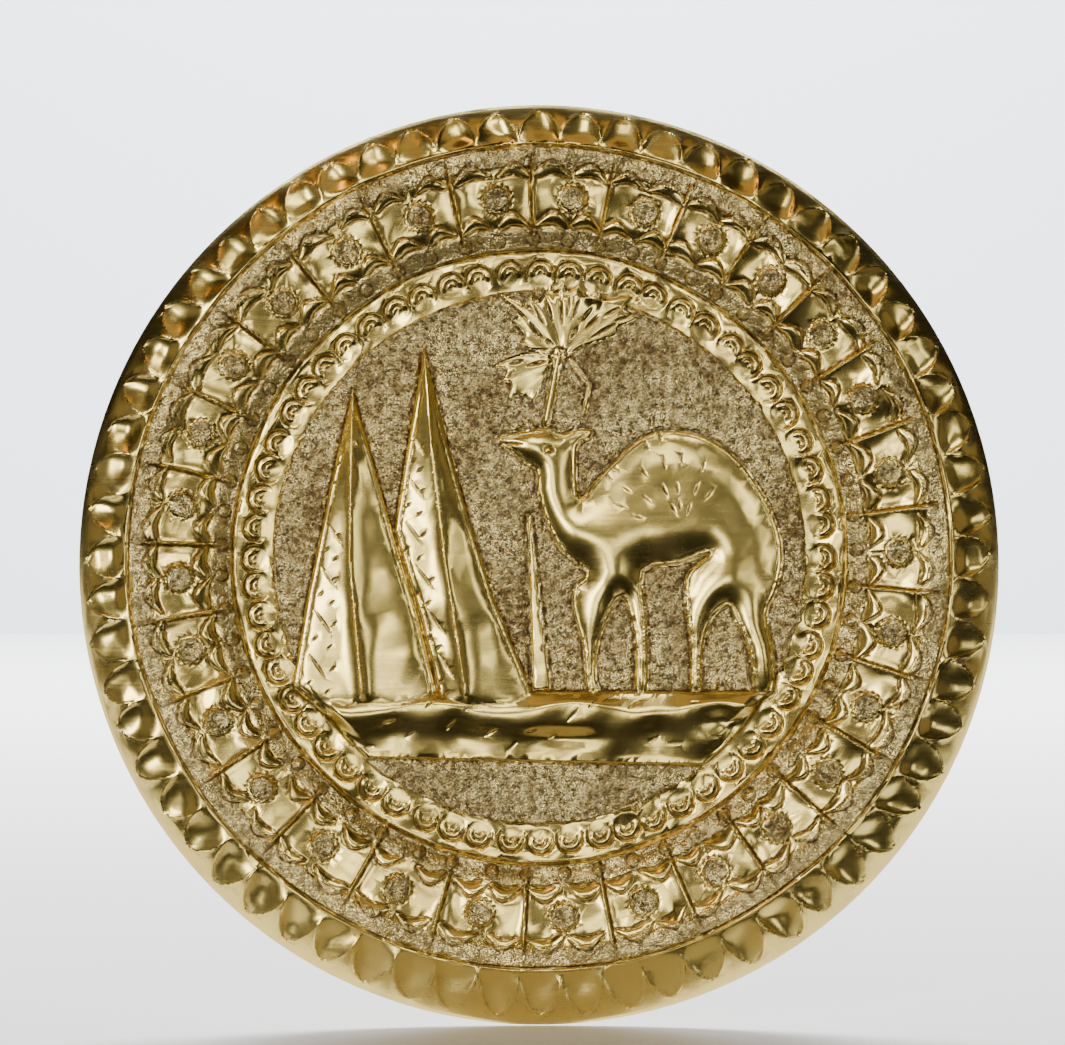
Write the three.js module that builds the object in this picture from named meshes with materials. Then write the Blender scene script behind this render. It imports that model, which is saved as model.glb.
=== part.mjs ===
import * as THREE from "three";

// A round wall plate, raised by hammer and punch from one sheet of thin metal.
// Millimetres. X runs to the right, Z runs up, and the front looks along -Y.
// The flat back of the middle lies in the plane Y = 0, at the centre of the rim.

// Sizes of the plate
const PLATE_RADIUS = 150;
const RIM_WIDTH = 15.5;
const BORDER_WIDTH = 35.5;
const RING_WIDTH = 13;
const SHEET = 0.8;
const THINNEST = 0.3;
const ORNAMENT_RISE = 2.6;
const RIM_STEPS = 128;

// The rings, as radii from the centre of the ornament and heights over the middle
const CREST_RADIUS = PLATE_RADIUS - RIM_WIDTH;
const RING_RADIUS = CREST_RADIUS - BORDER_WIDTH;
const FIELD_RADIUS = RING_RADIUS - RING_WIDTH;
const BAND_RADIUS = RING_RADIUS + BORDER_WIDTH * 0.37;
const RING_HEIGHT = 2;
const BAND_HEIGHT = 7;
const CREST_HEIGHT = 9;
const CURL_DROP = 6.5;

// The scooped flutes of the rim
const FLUTES = 64;
const FLUTE_DEPTH = 2.6;
const FLUTE_WAIST = 0.1;
const FLUTE_TIP = 0.85;
const FLUTE_ARCH = 0.6;

// The panels of the border, and how the hand spacing drifts, in degrees
const PANELS = 29;
const PANEL_START = 4;
const DRIFT = [[-1.95, 0.3], [0.55, 0.05], [-0.5, 1.05]];
const FOLD_HEIGHT = 1.5;
const FOLD_WIDTH = 3;
const FOLD_FROM = RING_RADIUS + 3;
const FOLD_TO = CREST_RADIUS - 2.5;

// The small raised ornaments of the border
const ROSETTE_CIRCLE = RING_RADIUS + BORDER_WIDTH * 0.507;
const ROSETTE_RADIUS = 5.2;
const ROSETTE_HEIGHT = 0.9;
const LEAF_CIRCLES = [RING_RADIUS + 9, CREST_RADIUS - 9.1];
const LEAF_HALF_LENGTH = 7;
const LEAF_HALF_WIDTH = 2.6;
const LEAF_BOW = 1.5;
const LEAF_HEIGHT = 1.1;

// The ring of hooked bosses round the picture
const BOSSES = 60;
const BOSS_CIRCLE = RING_RADIUS - 6.4;
const BOSS_RADIUS = 3.7;
const BOSS_HEIGHT = 1.9;
const POCKET_RADIUS = 4.6;
const BACK_FLAT = RING_RADIUS - 2.5;
const BACK_RING = RING_RADIUS + 3;

// Heights in the picture
const STEP = 0.9;
const STEP_WIDTH = 0.8;
const CAMEL_TOP = 9;
const PYRAMID_BULGE = 1.9;
const RIDGE_HEIGHT = 3.2;
const RIDGE_WIDTH = 2.6;
const MOUND_CREST = 4.2;
const MOUND_FOOT = 1;
const LEAFWORK = 0.8;
const TRUNK_HEIGHT = 1.3;

// The camel, going round its outline: right, up and the pitch of the flank there
const CAMEL_HEAD = [
  [-13.7, 39.1, 1], [-8.8, 40.6, 0.9], [2.9, 42.3, 0.9], [7.5, 40.4, 0.9],
  [12.7, 42, 0.9], [17.6, 41.4, 0.8], [16.6, 38.8, 0.8], [12.7, 36.2, 0.9],
  [12.4, 28.3, 0.9],
];
const CAMEL_BACK = [
  [13.4, 19.5, 0.6], [19.9, 26.7, 0.3], [28, 34.8, 0.26], [36.2, 40.4, 0.25],
  [45.9, 41.4, 0.25], [55.7, 38.8, 0.28], [65.5, 31.6, 0.3], [73.6, 20.2, 0.3],
  [78.5, 8.8, 0.32], [79.8, -1, 0.35], [77.8, -10.7, 0.5],
];
const CAMEL_HIND_LEGS = [
  [74.6, -18.9, 0.8], [76.9, -30.3, 0.9], [76.9, -44, 0.9], [70.4, -44, 0.9],
  [68.1, -30.3, 0.9], [63.8, -20.5, 0.8], [61.2, -16.3, 0.7], [55.7, -22.1, 0.8],
  [53.4, -33.5, 0.9], [53.4, -44, 0.9], [49.2, -44, 0.9], [49.2, -30.3, 0.9],
  [47.6, -17.3, 0.8], [47.6, -9.1, 0.6], [49.2, -4.2, 0.6],
];
const CAMEL_BELLY = [
  [55.4, 1, 0.6], [45.9, -2.6, 0.55], [34.5, -4.9, 0.55],
];
const CAMEL_FORE_LEGS = [
  [35.5, -20.5, 0.9], [35.5, -44, 0.9], [31.3, -44, 0.9], [31.3, -30.3, 0.9],
  [29, -17.3, 0.8], [26.4, -14, 0.7], [19.9, -27, 0.9], [18.9, -40.1, 0.9],
  [20.8, -44, 0.9], [15.6, -44, 0.9], [14.3, -30.3, 0.9], [11.7, -20.5, 0.8],
  [10.7, -14, 0.8], [11.7, -9.1, 0.8],
];
const CAMEL_CHEST = [
  [15, -4.9, 0.7], [6.8, 2.3, 0.75], [2, 12.1, 0.85], [-0.7, 21.8, 0.9],
  [-1.3, 28.3, 0.9], [-6.2, 31.6, 0.9], [-11.7, 35.8, 1],
];
const CAMEL = [
  ...CAMEL_HEAD, ...CAMEL_BACK, ...CAMEL_HIND_LEGS,
  ...CAMEL_BELLY, ...CAMEL_FORE_LEGS, ...CAMEL_CHEST,
];

// The two pyramids: outline and ridge
const LEFT_PYRAMID = [
  [-60.9, 56], [-68.1, 25.1], [-76.2, -14], [-81, -43], [-70, -52], [-33.5, -52],
  [-33.2, -43.3], [-38.8, -20.5], [-47.6, 8.8],
];
const LEFT_RIDGE = [[-61, 54], [-61.6, -1], [-57.6, -45]];
const RIGHT_PYRAMID = [
  [-37.5, 70.7], [-43.6, 34.8], [-47.6, 8.8], [-38.8, -20.5], [-33.2, -43.3],
  [-33, -52], [1, -52], [-2.9, -41.7], [-14.3, -14], [-22.5, 12.1], [-30.6, 41.4],
];
const RIGHT_RIDGE = [[-37, 68], [-35.5, 41.4], [-30.6, -1], [-23.8, -45]];

// The ground that the picture stands on
const MOUND_TOP = -43.6;
const MOUND_BOTTOM = -67.3;
const MOUND_TILT = -0.022;
const MOUND_CREST_LINE = -50;
const MOUND_WAVE = 2;
const MOUND_WAVE_LENGTH = 47;

// The palm: the crown, the tips of its fronds with half their width, and the trunk
const PALM_CROWN = [7.8, 68.4];
const PALM_TIPS = [
  [-12.4, 86.3, 1.6], [-1, 83.4, 1.4], [5.7, 88.6, 1.1], [13.7, 87.6, 1.1],
  [19.5, 83.4, 1.4], [29.5, 82, 2.4], [29, 76.5, 2.4], [-14.5, 61.9, 2],
  [-8, 55, 3], [16, 55.5, 1.8],
];
const PALM_TRUNKS = [
  [[7.8, 66], [2.9, 43], 1.5],
  [[-2.6, 20], [1.6, -44], 2.2],
];

// Small helpers
const TURN = Math.PI * 2;

function smooth(from, to, value) {
  const t = Math.min(1, Math.max(0, (value - from) / (to - from)));
  return t * t * (3 - 2 * t);
}

function polar(radius, angle) {
  return [radius * Math.sin(angle), radius * Math.cos(angle)];
}

function nearestTurn(angle, parts) {
  const pitch = TURN / parts;
  return Math.round(angle / pitch) * pitch;
}

function alongSegment(u, v, a, b) {
  const lengthU = b[0] - a[0];
  const lengthV = b[1] - a[1];
  const share = ((u - a[0]) * lengthU + (v - a[1]) * lengthV) / (lengthU ** 2 + lengthV ** 2);
  const t = Math.min(1, Math.max(0, share));
  return [t, Math.hypot(u - a[0] - lengthU * t, v - a[1] - lengthV * t)];
}

function lineDistance(u, v, line) {
  let least = Infinity;
  for (let i = 0; i + 1 < line.length; i += 1) {
    least = Math.min(least, alongSegment(u, v, line[i], line[i + 1])[1]);
  }
  return least;
}

function isInside(u, v, outline) {
  let inside = false;
  for (let i = 0; i < outline.length; i += 1) {
    const a = outline[i];
    const b = outline[(i + 1) % outline.length];
    const crosses = (a[1] > v) !== (b[1] > v);
    if (crosses && u < a[0] + (b[0] - a[0]) * (v - a[1]) / (b[1] - a[1])) inside = !inside;
  }
  return inside;
}

// How deep a point lies inside an outline: negative outside it
function depthIn(u, v, outline) {
  const away = lineDistance(u, v, [...outline, outline[0]]);
  return isInside(u, v, outline) ? away : -away;
}

// The panels, folds and rosettes are set out by hand, so their angles drift
function laidAngle(place) {
  const even = TURN * place / PANELS;
  let degrees = PANEL_START;
  DRIFT.forEach(([sine, cosine], i) => {
    degrees += sine * Math.sin((i + 1) * even) + cosine * Math.cos((i + 1) * even);
  });
  return even + degrees * TURN / 360;
}

const ROSETTE_ANGLES = Array.from({ length: PANELS }, (_, i) => laidAngle(i));
const FOLD_ANGLES = Array.from({ length: PANELS }, (_, i) => laidAngle(i + 0.47));

function leafPlaces() {
  const places = [];
  FOLD_ANGLES.forEach((fold, i) => {
    const next = i + 1 < PANELS ? FOLD_ANGLES[i + 1] : FOLD_ANGLES[0] + TURN;
    for (const radius of LEAF_CIRCLES) {
      for (const share of [0.24, 0.76]) {
        places.push({ radius, angle: fold + (next - fold) * share, hand: share < 0.5 ? 1 : -1 });
      }
    }
  });
  return places;
}
const LEAVES = leafPlaces();

// A place on a leaf, from the share of its length and the share of its width
function leafPoint(leaf, along, across) {
  const s = along * LEAF_HALF_LENGTH;
  const half = LEAF_HALF_WIDTH * (1 - along * along);
  const q = LEAF_BOW * (1 - 2 * along * along) + across * half;
  return polar(leaf.radius + q, leaf.angle + leaf.hand * s / leaf.radius);
}

function leafRelief(radius, angle) {
  let height = 0;
  for (const leaf of LEAVES) {
    if (Math.abs(radius - leaf.radius) > 2 * LEAF_HALF_WIDTH) continue;
    let turn = angle - leaf.angle;
    turn -= TURN * Math.round(turn / TURN);
    const along = leaf.hand * turn * leaf.radius / LEAF_HALF_LENGTH;
    if (Math.abs(along) >= 1) continue;
    const half = LEAF_HALF_WIDTH * (1 - along * along);
    const across = (radius - leaf.radius - LEAF_BOW * (1 - 2 * along * along)) / half;
    if (Math.abs(across) < 1) height = Math.max(height, LEAF_HEIGHT * (1 - across * across));
  }
  return height;
}

function rosetteRelief(u, v) {
  for (const angle of ROSETTE_ANGLES) {
    const [cu, cv] = polar(ROSETTE_CIRCLE, angle);
    const away = Math.hypot(u - cu, v - cv);
    if (away < ROSETTE_RADIUS) {
      return ROSETTE_HEIGHT * smooth(ROSETTE_RADIUS, ROSETTE_RADIUS - 1, away);
    }
  }
  return 0;
}

// The distance from the centre of the ornament to the edge of the plate
function edgeRadius(angle) {
  const sideways = ORNAMENT_RISE * Math.sin(angle);
  return Math.sqrt(PLATE_RADIUS ** 2 - sideways ** 2) - ORNAMENT_RISE * Math.cos(angle);
}

// Half the width of a flute, as a share of its pitch: a pointed arch
function fluteHalf(share) {
  const y = Math.min(1, Math.max(0, (share - FLUTE_WAIST) / (FLUTE_TIP - FLUTE_WAIST)));
  return (1 - y * y) ** FLUTE_ARCH;
}

// The rim: it curls back from the crest and is scooped into flutes
function rimRelief(radius, angle) {
  const t = (radius - CREST_RADIUS) / (edgeRadius(angle) - CREST_RADIUS);
  const base = CREST_HEIGHT - CURL_DROP * Math.max(0, t) ** 2;
  const side = Math.abs(angle - nearestTurn(angle, FLUTES)) * FLUTES / Math.PI;
  const half = fluteHalf(t);
  if (side >= half) return base;
  const length = smooth(-0.06, 0.3, t) * smooth(FLUTE_TIP, FLUTE_TIP - 0.25, t);
  return base - FLUTE_DEPTH * length * (1 - (side / half) ** 2);
}

// The border between the ring of bosses and the crest, with its radial folds
function borderRelief(radius, angle) {
  const slope = smooth(RING_RADIUS - 1, BAND_RADIUS + 2, radius) * (BAND_HEIGHT - RING_HEIGHT);
  const rise = smooth(BAND_RADIUS, CREST_RADIUS, radius) * (CREST_HEIGHT - BAND_HEIGHT);
  let height = RING_HEIGHT + slope + rise;
  const inner = smooth(FOLD_FROM - 2, FOLD_FROM + 4, radius);
  const reach = inner * smooth(FOLD_TO + 2, FOLD_TO - 6, radius);
  for (const fold of FOLD_ANGLES) {
    let turn = angle - fold;
    turn -= TURN * Math.round(turn / TURN);
    height += FOLD_HEIGHT * reach * Math.exp(-Math.abs(turn) * radius / FOLD_WIDTH);
  }
  return height;
}

// The ring: sunk pockets with cusps between them
function ringRelief(radius, angle) {
  const bank = RING_HEIGHT * smooth(FIELD_RADIUS, RING_RADIUS - 1, radius);
  const [cu, cv] = polar(BOSS_CIRCLE, nearestTurn(angle, BOSSES));
  const [u, v] = polar(radius, angle);
  const away = Math.hypot(u - cu, v - cv);
  return bank * smooth(POCKET_RADIUS - 1.4, POCKET_RADIUS + 0.2, away);
}

// A hooked boss: a round arc, open towards the middle of the plate
function bossRelief(radius, angle) {
  const middle = nearestTurn(angle, BOSSES);
  const [cu, cv] = polar(BOSS_CIRCLE, middle);
  const [u, v] = polar(radius, angle);
  const away = Math.hypot(u - cu, v - cv) / BOSS_RADIUS;
  if (away >= 1) return 0;
  const outward = radius * Math.cos(angle - middle) - BOSS_CIRCLE;
  const hook = smooth(-0.9 * BOSS_RADIUS, 0.2 * BOSS_RADIUS, outward);
  const round = 1 - (Math.abs(away - 0.58) / 0.42) ** 2;
  return BOSS_HEIGHT * hook * (away < 0.58 ? 0.45 + 0.55 * round : round);
}

// A figure rises over its outline by a step, and then by its own body
function step(depth) {
  return STEP * smooth(0, STEP_WIDTH, depth);
}

function camelRelief(u, v) {
  if (!isInside(u, v, CAMEL)) return 0;
  let least = Infinity;
  let sum = 0;
  CAMEL.forEach((a, i) => {
    const b = CAMEL[(i + 1) % CAMEL.length];
    const [t, away] = alongSegment(u, v, a, b);
    const pitch = a[2] + (b[2] - a[2]) * t;
    least = Math.min(least, away);
    sum += Math.exp(-pitch * away / 0.5);
  });
  const body = Math.max(0, -0.5 * Math.log(sum));
  return step(least) + CAMEL_TOP * Math.tanh(body / CAMEL_TOP);
}

function pyramidRelief(u, v, outline, ridge) {
  const depth = depthIn(u, v, outline);
  if (depth <= 0) return 0;
  const within = 1 - Math.exp(-depth / 3);
  const crease = RIDGE_HEIGHT * Math.exp(-lineDistance(u, v, ridge) / RIDGE_WIDTH);
  return step(depth) + within * (PYRAMID_BULGE + crease);
}

function moundCrest(u) {
  return MOUND_CREST_LINE + MOUND_WAVE * Math.sin(TURN * u / MOUND_WAVE_LENGTH);
}

function moundRelief(u, v) {
  const bottom = MOUND_BOTTOM + MOUND_TILT * u;
  const ends = FIELD_RADIUS + 1 - Math.hypot(u, v);
  const depth = Math.min(MOUND_TOP - v, v - bottom, ends);
  if (depth <= 0) return 0;
  const crest = moundCrest(u);
  const share = v > crest ? (MOUND_TOP - v) / (MOUND_TOP - crest) : (v - bottom) / (crest - bottom);
  const body = (MOUND_CREST - MOUND_FOOT) * smooth(0, 1, share);
  return MOUND_FOOT * smooth(0, STEP_WIDTH, depth) + body * smooth(0, 5, ends);
}

function palmRelief(u, v) {
  let height = 0;
  for (const [tipU, tipV, half] of PALM_TIPS) {
    const [t, away] = alongSegment(u, v, PALM_CROWN, [tipU, tipV]);
    const depth = half * (0.9 + 0.4 * t - 0.9 * t ** 4) - away;
    height = Math.max(height, LEAFWORK * smooth(0, STEP_WIDTH, depth));
  }
  for (const [from, to, half] of PALM_TRUNKS) {
    const away = alongSegment(u, v, from, to)[1];
    height = Math.max(height, TRUNK_HEIGHT * smooth(0, 1, (half - away) / half));
  }
  return height;
}

// The big forms of the picture, which are pushed up from behind
function pictureRelief(u, v) {
  return Math.max(
    camelRelief(u, v),
    pyramidRelief(u, v, LEFT_PYRAMID, LEFT_RIDGE),
    pyramidRelief(u, v, RIGHT_PYRAMID, RIGHT_RIDGE),
    moundRelief(u, v),
  );
}

// Height of the front of the sheet over the ground of the picture
function frontRelief(u, v) {
  const radius = Math.hypot(u, v);
  const angle = Math.atan2(u, v);
  if (radius > CREST_RADIUS) return rimRelief(radius, angle);
  if (radius > RING_RADIUS) {
    return borderRelief(radius, angle) + Math.max(rosetteRelief(u, v), leafRelief(radius, angle));
  }
  const ring = ringRelief(radius, angle) + bossRelief(radius, angle);
  const forms = pictureRelief(u, v);
  return Math.max(ring, forms > 0 ? forms : palmRelief(u, v));
}

// The back follows the big forms as hollows, and stays plain behind the small ones
function backRelief(u, v) {
  const radius = Math.hypot(u, v);
  const angle = Math.atan2(u, v);
  if (radius > CREST_RADIUS) return rimRelief(radius, angle);
  if (radius > BACK_RING) return borderRelief(radius, angle);
  if (radius > BACK_FLAT) {
    const share = (radius - BACK_FLAT) / (BACK_RING - BACK_FLAT);
    return share * borderRelief(BACK_RING, angle);
  }
  const within = smooth(FIELD_RADIUS + 2, FIELD_RADIUS - 4, radius);
  return within * Math.max(0, pictureRelief(u, v) - STEP);
}

// Places where the surface is measured, kept apart by a least spacing
class Sites {
  constructor() {
    this.list = [];
  }

  add([u, v], spacing) {
    const near = this.list.some(([a, b]) => Math.hypot(a - u, b - v) < spacing);
    if (!near) this.list.push([u, v]);
  }

  ring(radius, count, turn, spacing) {
    for (let i = 0; i < count; i += 1) {
      this.add(polar(radius, TURN * (i + turn) / count), spacing);
    }
  }
}

function placeEdge(sites) {
  for (let i = 0; i < RIM_STEPS; i += 1) {
    const [u, v] = polar(PLATE_RADIUS, -TURN * i / RIM_STEPS);
    sites.add([u, v - ORNAMENT_RISE], 0);
  }
}

// Which way round an outline runs: 1 for clockwise as seen from the front
function windingOf(outline) {
  let twice = 0;
  outline.forEach((a, i) => {
    const b = outline[(i + 1) % outline.length];
    twice += a[0] * b[1] - a[1] * b[0];
  });
  return -Math.sign(twice);
}

// Points round an outline, moved inwards, a given distance apart
function placeOutline(sites, outline, inset, pitch, spacing) {
  const inward = inset * windingOf(outline);
  outline.forEach((a, i) => {
    const b = outline[(i + 1) % outline.length];
    const length = Math.hypot(b[0] - a[0], b[1] - a[1]);
    const parts = Math.max(1, Math.round(length / pitch));
    const normal = [(b[1] - a[1]) / length, (a[0] - b[0]) / length];
    for (let k = 0; k < parts; k += 1) {
      const t = k / parts;
      const u = a[0] + (b[0] - a[0]) * t + normal[0] * inward;
      const v = a[1] + (b[1] - a[1]) * t + normal[1] * inward;
      const depth = depthIn(u, v, outline);
      if (inset <= 0 || depth > 0.8 * inset) sites.add([u, v], spacing);
    }
  });
}

function placeLine(sites, line, pitch, spacing) {
  for (let i = 0; i + 1 < line.length; i += 1) {
    const [a, b] = [line[i], line[i + 1]];
    const parts = Math.ceil(Math.hypot(b[0] - a[0], b[1] - a[1]) / pitch);
    for (let k = 0; k <= parts; k += 1) {
      const t = k / parts;
      sites.add([a[0] + (b[0] - a[0]) * t, a[1] + (b[1] - a[1]) * t], spacing);
    }
  }
}

function placeInside(sites, outline, pitch, margin) {
  for (let u = -FIELD_RADIUS; u <= FIELD_RADIUS; u += pitch) {
    for (let v = -FIELD_RADIUS; v <= FIELD_RADIUS; v += pitch) {
      const shift = (Math.round((v + FIELD_RADIUS) / pitch) % 2) * pitch / 2;
      if (depthIn(u + shift, v, outline) > margin) sites.add([u + shift, v], pitch * 0.6);
    }
  }
}

// A few points on the flat ground between the forms
function placeGround(sites, pitch) {
  const reach = FIELD_RADIUS - 2;
  for (let u = -reach; u <= reach; u += pitch) {
    for (let v = -reach; v <= reach; v += pitch) {
      if (Math.hypot(u, v) < reach) sites.add([u, v], pitch * 0.45);
    }
  }
}

function placePicture(sites, fine) {
  const pitch = fine ? 4.6 : 7;
  const lip = fine ? -0.15 : STEP_WIDTH;
  const shoulder = fine ? STEP_WIDTH + 0.1 : 2;
  placeOutline(sites, CAMEL, lip, pitch, 1.2);
  placeOutline(sites, CAMEL, shoulder, pitch, 0.9);
  if (fine) placeOutline(sites, CAMEL, 2.4, pitch, 1.4);
  placeInside(sites, CAMEL, fine ? 6.5 : 9, 2.6);
  for (const [outline, ridge] of [[LEFT_PYRAMID, LEFT_RIDGE], [RIGHT_PYRAMID, RIGHT_RIDGE]]) {
    placeLine(sites, ridge, fine ? 5 : 8, 1.2);
    for (const shift of [-RIDGE_WIDTH, RIDGE_WIDTH]) {
      const beside = ridge.map(([u, v]) => [u + shift, v - 8]);
      placeLine(sites, beside.map(([u, v]) => [u, Math.max(v, -45)]), fine ? 8 : 12, 1.6);
    }
    placeOutline(sites, outline, lip, fine ? 6.5 : 9, 1.2);
    if (fine) placeOutline(sites, outline, shoulder, 6.5, 0.9);
    placeInside(sites, outline, fine ? 8 : 12, 3);
  }
  placeMound(sites, fine);
}

function placeMound(sites, fine) {
  const pitch = fine ? 6 : 9;
  const reach = FIELD_RADIUS - 14;
  for (let u = -reach; u <= reach; u += pitch) {
    const bottom = MOUND_BOTTOM + MOUND_TILT * u;
    const crest = moundCrest(u);
    const upper = [MOUND_TOP + 0.1, MOUND_TOP - 0.9, crest];
    const under = [(crest + bottom) / 2, bottom + 1, bottom - 0.1];
    for (const v of [...upper, ...under]) {
      if (Math.hypot(u, v) < FIELD_RADIUS) sites.add([u, v], 1);
    }
  }
}

function placePalm(sites) {
  for (const [tipU, tipV, half] of PALM_TIPS) {
    const [cu, cv] = PALM_CROWN;
    const length = Math.hypot(tipU - cu, tipV - cv);
    const along = [(tipU - cu) / length, (tipV - cv) / length];
    for (const t of [0.4, 0.8]) {
      for (const side of [-1.25 * half, -0.35 * half, 0.35 * half, 1.25 * half]) {
        const u = cu + along[0] * length * t + along[1] * side;
        const v = cv + along[1] * length * t - along[0] * side;
        sites.add([u, v], 0.9);
      }
    }
    sites.add([tipU + along[0] * half * 0.5, tipV + along[1] * half * 0.5], 0.9);
  }
  sites.add(PALM_CROWN, 0.9);
  for (const [from, to, half] of PALM_TRUNKS) {
    for (const shift of [-half, 0, half]) {
      placeLine(sites, [[from[0] + shift, from[1]], [to[0] + shift, to[1]]], 8, 0.9);
    }
  }
}

// Shares of a turn round a boss, on its outline and on its crown
const BOSS_OUTLINE = [-0.3, -0.15, 0, 0.15, 0.3];
const BOSS_CROWN = [-0.27, -0.09, 0.09, 0.27];

function placeBosses(sites) {
  for (let i = 0; i < BOSSES; i += 1) {
    const angle = TURN * i / BOSSES;
    const [cu, cv] = polar(BOSS_CIRCLE, angle);
    sites.add([cu, cv], 0.9);
    const circles = [[BOSS_RADIUS, BOSS_OUTLINE], [BOSS_RADIUS * 0.58, BOSS_CROWN]];
    for (const [radius, turns] of circles) {
      for (const turn of turns) {
        const [du, dv] = polar(radius, angle + TURN * turn);
        sites.add([cu + du, cv + dv], 0.9);
      }
    }
    for (const radius of [RING_RADIUS - 1.5, BOSS_CIRCLE - 1, FIELD_RADIUS + 0.5]) {
      sites.add(polar(radius, angle + TURN / BOSSES / 2), 0.9);
    }
  }
}

// Places on a leaf: the share of its length and of its half width
const LEAF_PLACES = [[-1, 0], [1, 0], [0, 1], [0, -1], [0, 0]];

function placeBorder(sites) {
  for (const angle of ROSETTE_ANGLES) {
    const [cu, cv] = polar(ROSETTE_CIRCLE, angle);
    for (let i = 0; i < 7; i += 1) {
      for (const radius of [ROSETTE_RADIUS + 0.1, ROSETTE_RADIUS - 1.1]) {
        const [du, dv] = polar(radius, angle + TURN * i / 7);
        sites.add([cu + du, cv + dv], 0.9);
      }
    }
  }
  for (const leaf of LEAVES) {
    for (const [along, across] of LEAF_PLACES) {
      sites.add(leafPoint(leaf, along, across * 1.05), 1);
    }
  }
}

function placeFolds(sites, pitch) {
  for (const fold of FOLD_ANGLES) {
    placeLine(sites, [polar(FOLD_FROM, fold), polar(FOLD_TO, fold)], pitch, 1);
  }
}

// Ridge, lips and floor of each flute of the rim
function placeFlutes(sites, fine) {
  const half = Math.PI / FLUTES;
  for (let i = 0; i < FLUTES; i += 1) {
    const angle = TURN * i / FLUTES;
    const depth = edgeRadius(angle) - CREST_RADIUS;
    const place = (share, side) => {
      sites.add(polar(CREST_RADIUS + depth * share, angle + half * side), 1);
    };
    for (const share of fine ? [0.03, 0.22] : [0.22]) place(share, 1);
    for (const share of fine ? [0.48, 0.7] : [0.6]) {
      place(share, -fluteHalf(share));
      place(share, fluteHalf(share));
    }
    for (const side of fine ? [-0.5, 0, 0.5] : [0]) place(0.3, side);
    if (fine) place(0.06, 0);
    if (fine) place(0.6, 0);
    place(FLUTE_TIP, 0);
  }
}

// Joins the places into triangles so that no circle through three holds a fourth
function circled(places, a, b, c) {
  const [au, av] = places[a];
  const bu = places[b][0] - au;
  const bv = places[b][1] - av;
  const cu = places[c][0] - au;
  const cv = places[c][1] - av;
  const twice = 2 * (bu * cv - bv * cu);
  const bb = bu * bu + bv * bv;
  const cc = cu * cu + cv * cv;
  const du = (cv * bb - bv * cc) / twice;
  const dv = (bu * cc - cu * bb) / twice;
  return { a, b, c, u: au + du, v: av + dv, reach: du * du + dv * dv };
}

function joinPlaces(list) {
  const count = list.length;
  const far = PLATE_RADIUS * 300;
  const nudged = list.map(([u, v], i) => [
    u + 0.004 * Math.sin(i * 7.3 + 1),
    v + 0.004 * Math.sin(i * 4.1 + 2),
  ]);
  const places = [...nudged, [-far, -far], [far, -far], [0, far]];
  let triangles = [circled(places, count, count + 1, count + 2)];
  for (let i = 0; i < count; i += 1) {
    const [u, v] = places[i];
    const kept = [];
    const edges = new Map();
    for (const triangle of triangles) {
      if ((u - triangle.u) ** 2 + (v - triangle.v) ** 2 >= triangle.reach) {
        kept.push(triangle);
        continue;
      }
      const { a, b, c } = triangle;
      for (const [from, to] of [[a, b], [b, c], [c, a]]) {
        const twin = `${to} ${from}`;
        if (edges.has(twin)) edges.delete(twin);
        else edges.set(`${from} ${to}`, [from, to]);
      }
    }
    for (const [from, to] of edges.values()) kept.push(circled(places, from, to, i));
    triangles = kept;
  }
  return triangles.filter(({ a, b, c }) => Math.max(a, b, c) < count);
}

// How far a straight edge between two places leaves the relief, at three points along it
function edgeError(p, q, surface) {
  const [a, b] = [surface.places[p], surface.places[q]];
  let error = 0;
  for (const t of [0.25, 0.5, 0.75]) {
    const height = surface.heights[p] * (1 - t) + surface.heights[q] * t;
    error += Math.abs(height - surface.relief(a[0] + (b[0] - a[0]) * t, a[1] + (b[1] - a[1]) * t));
  }
  return error;
}

// Height of a triangle over its longest side, signed by the way round it runs
function slimness(i, j, k, places) {
  const [a, b, c] = [places[i], places[j], places[k]];
  const twice = (b[0] - a[0]) * (c[1] - a[1]) - (b[1] - a[1]) * (c[0] - a[0]);
  const sides = [[a, b], [b, c], [c, a]].map(([m, n]) => Math.hypot(m[0] - n[0], m[1] - n[1]));
  return twice / Math.max(...sides);
}

// Turns the diagonal of two neighbours where the other one follows the relief more closely
function settle(surface) {
  const { triangles, places } = surface;
  const owner = new Map();
  const known = new Map();
  const error = (p, q) => {
    const key = p < q ? `${p} ${q}` : `${q} ${p}`;
    if (!known.has(key)) known.set(key, edgeError(p, q, surface));
    return known.get(key);
  };
  const own = (triangle) => {
    const { a, b, c } = triangle;
    owner.set(`${a} ${b}`, { triangle, apex: c });
    owner.set(`${b} ${c}`, { triangle, apex: a });
    owner.set(`${c} ${a}`, { triangle, apex: b });
  };
  triangles.forEach(own);
  for (let pass = 0; pass < 6; pass += 1) {
    for (const one of triangles) {
      for (const [p, q] of [[one.a, one.b], [one.b, one.c], [one.c, one.a]]) {
        const twin = owner.get(`${q} ${p}`);
        if (!twin) continue;
        const r = owner.get(`${p} ${q}`).apex;
        const s = twin.apex;
        if (error(r, s) > error(p, q) - 0.01) continue;
        const way = Math.sign(slimness(p, q, r, places));
        const least = Math.min(slimness(p, s, r, places) * way, slimness(s, q, r, places) * way);
        if (least < 0.35) continue;
        Object.assign(one, { a: p, b: s, c: r });
        Object.assign(twin.triangle, { a: s, b: q, c: r });
        owner.delete(`${p} ${q}`);
        owner.delete(`${q} ${p}`);
        own(one);
        own(twin.triangle);
        break;
      }
    }
  }
}

function surfaceOver(sites, relief) {
  const places = sites.list;
  const heights = places.map(([u, v]) => relief(u, v));
  const surface = { places, heights, relief, triangles: joinPlaces(places) };
  settle(surface);
  return surface;
}

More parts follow.
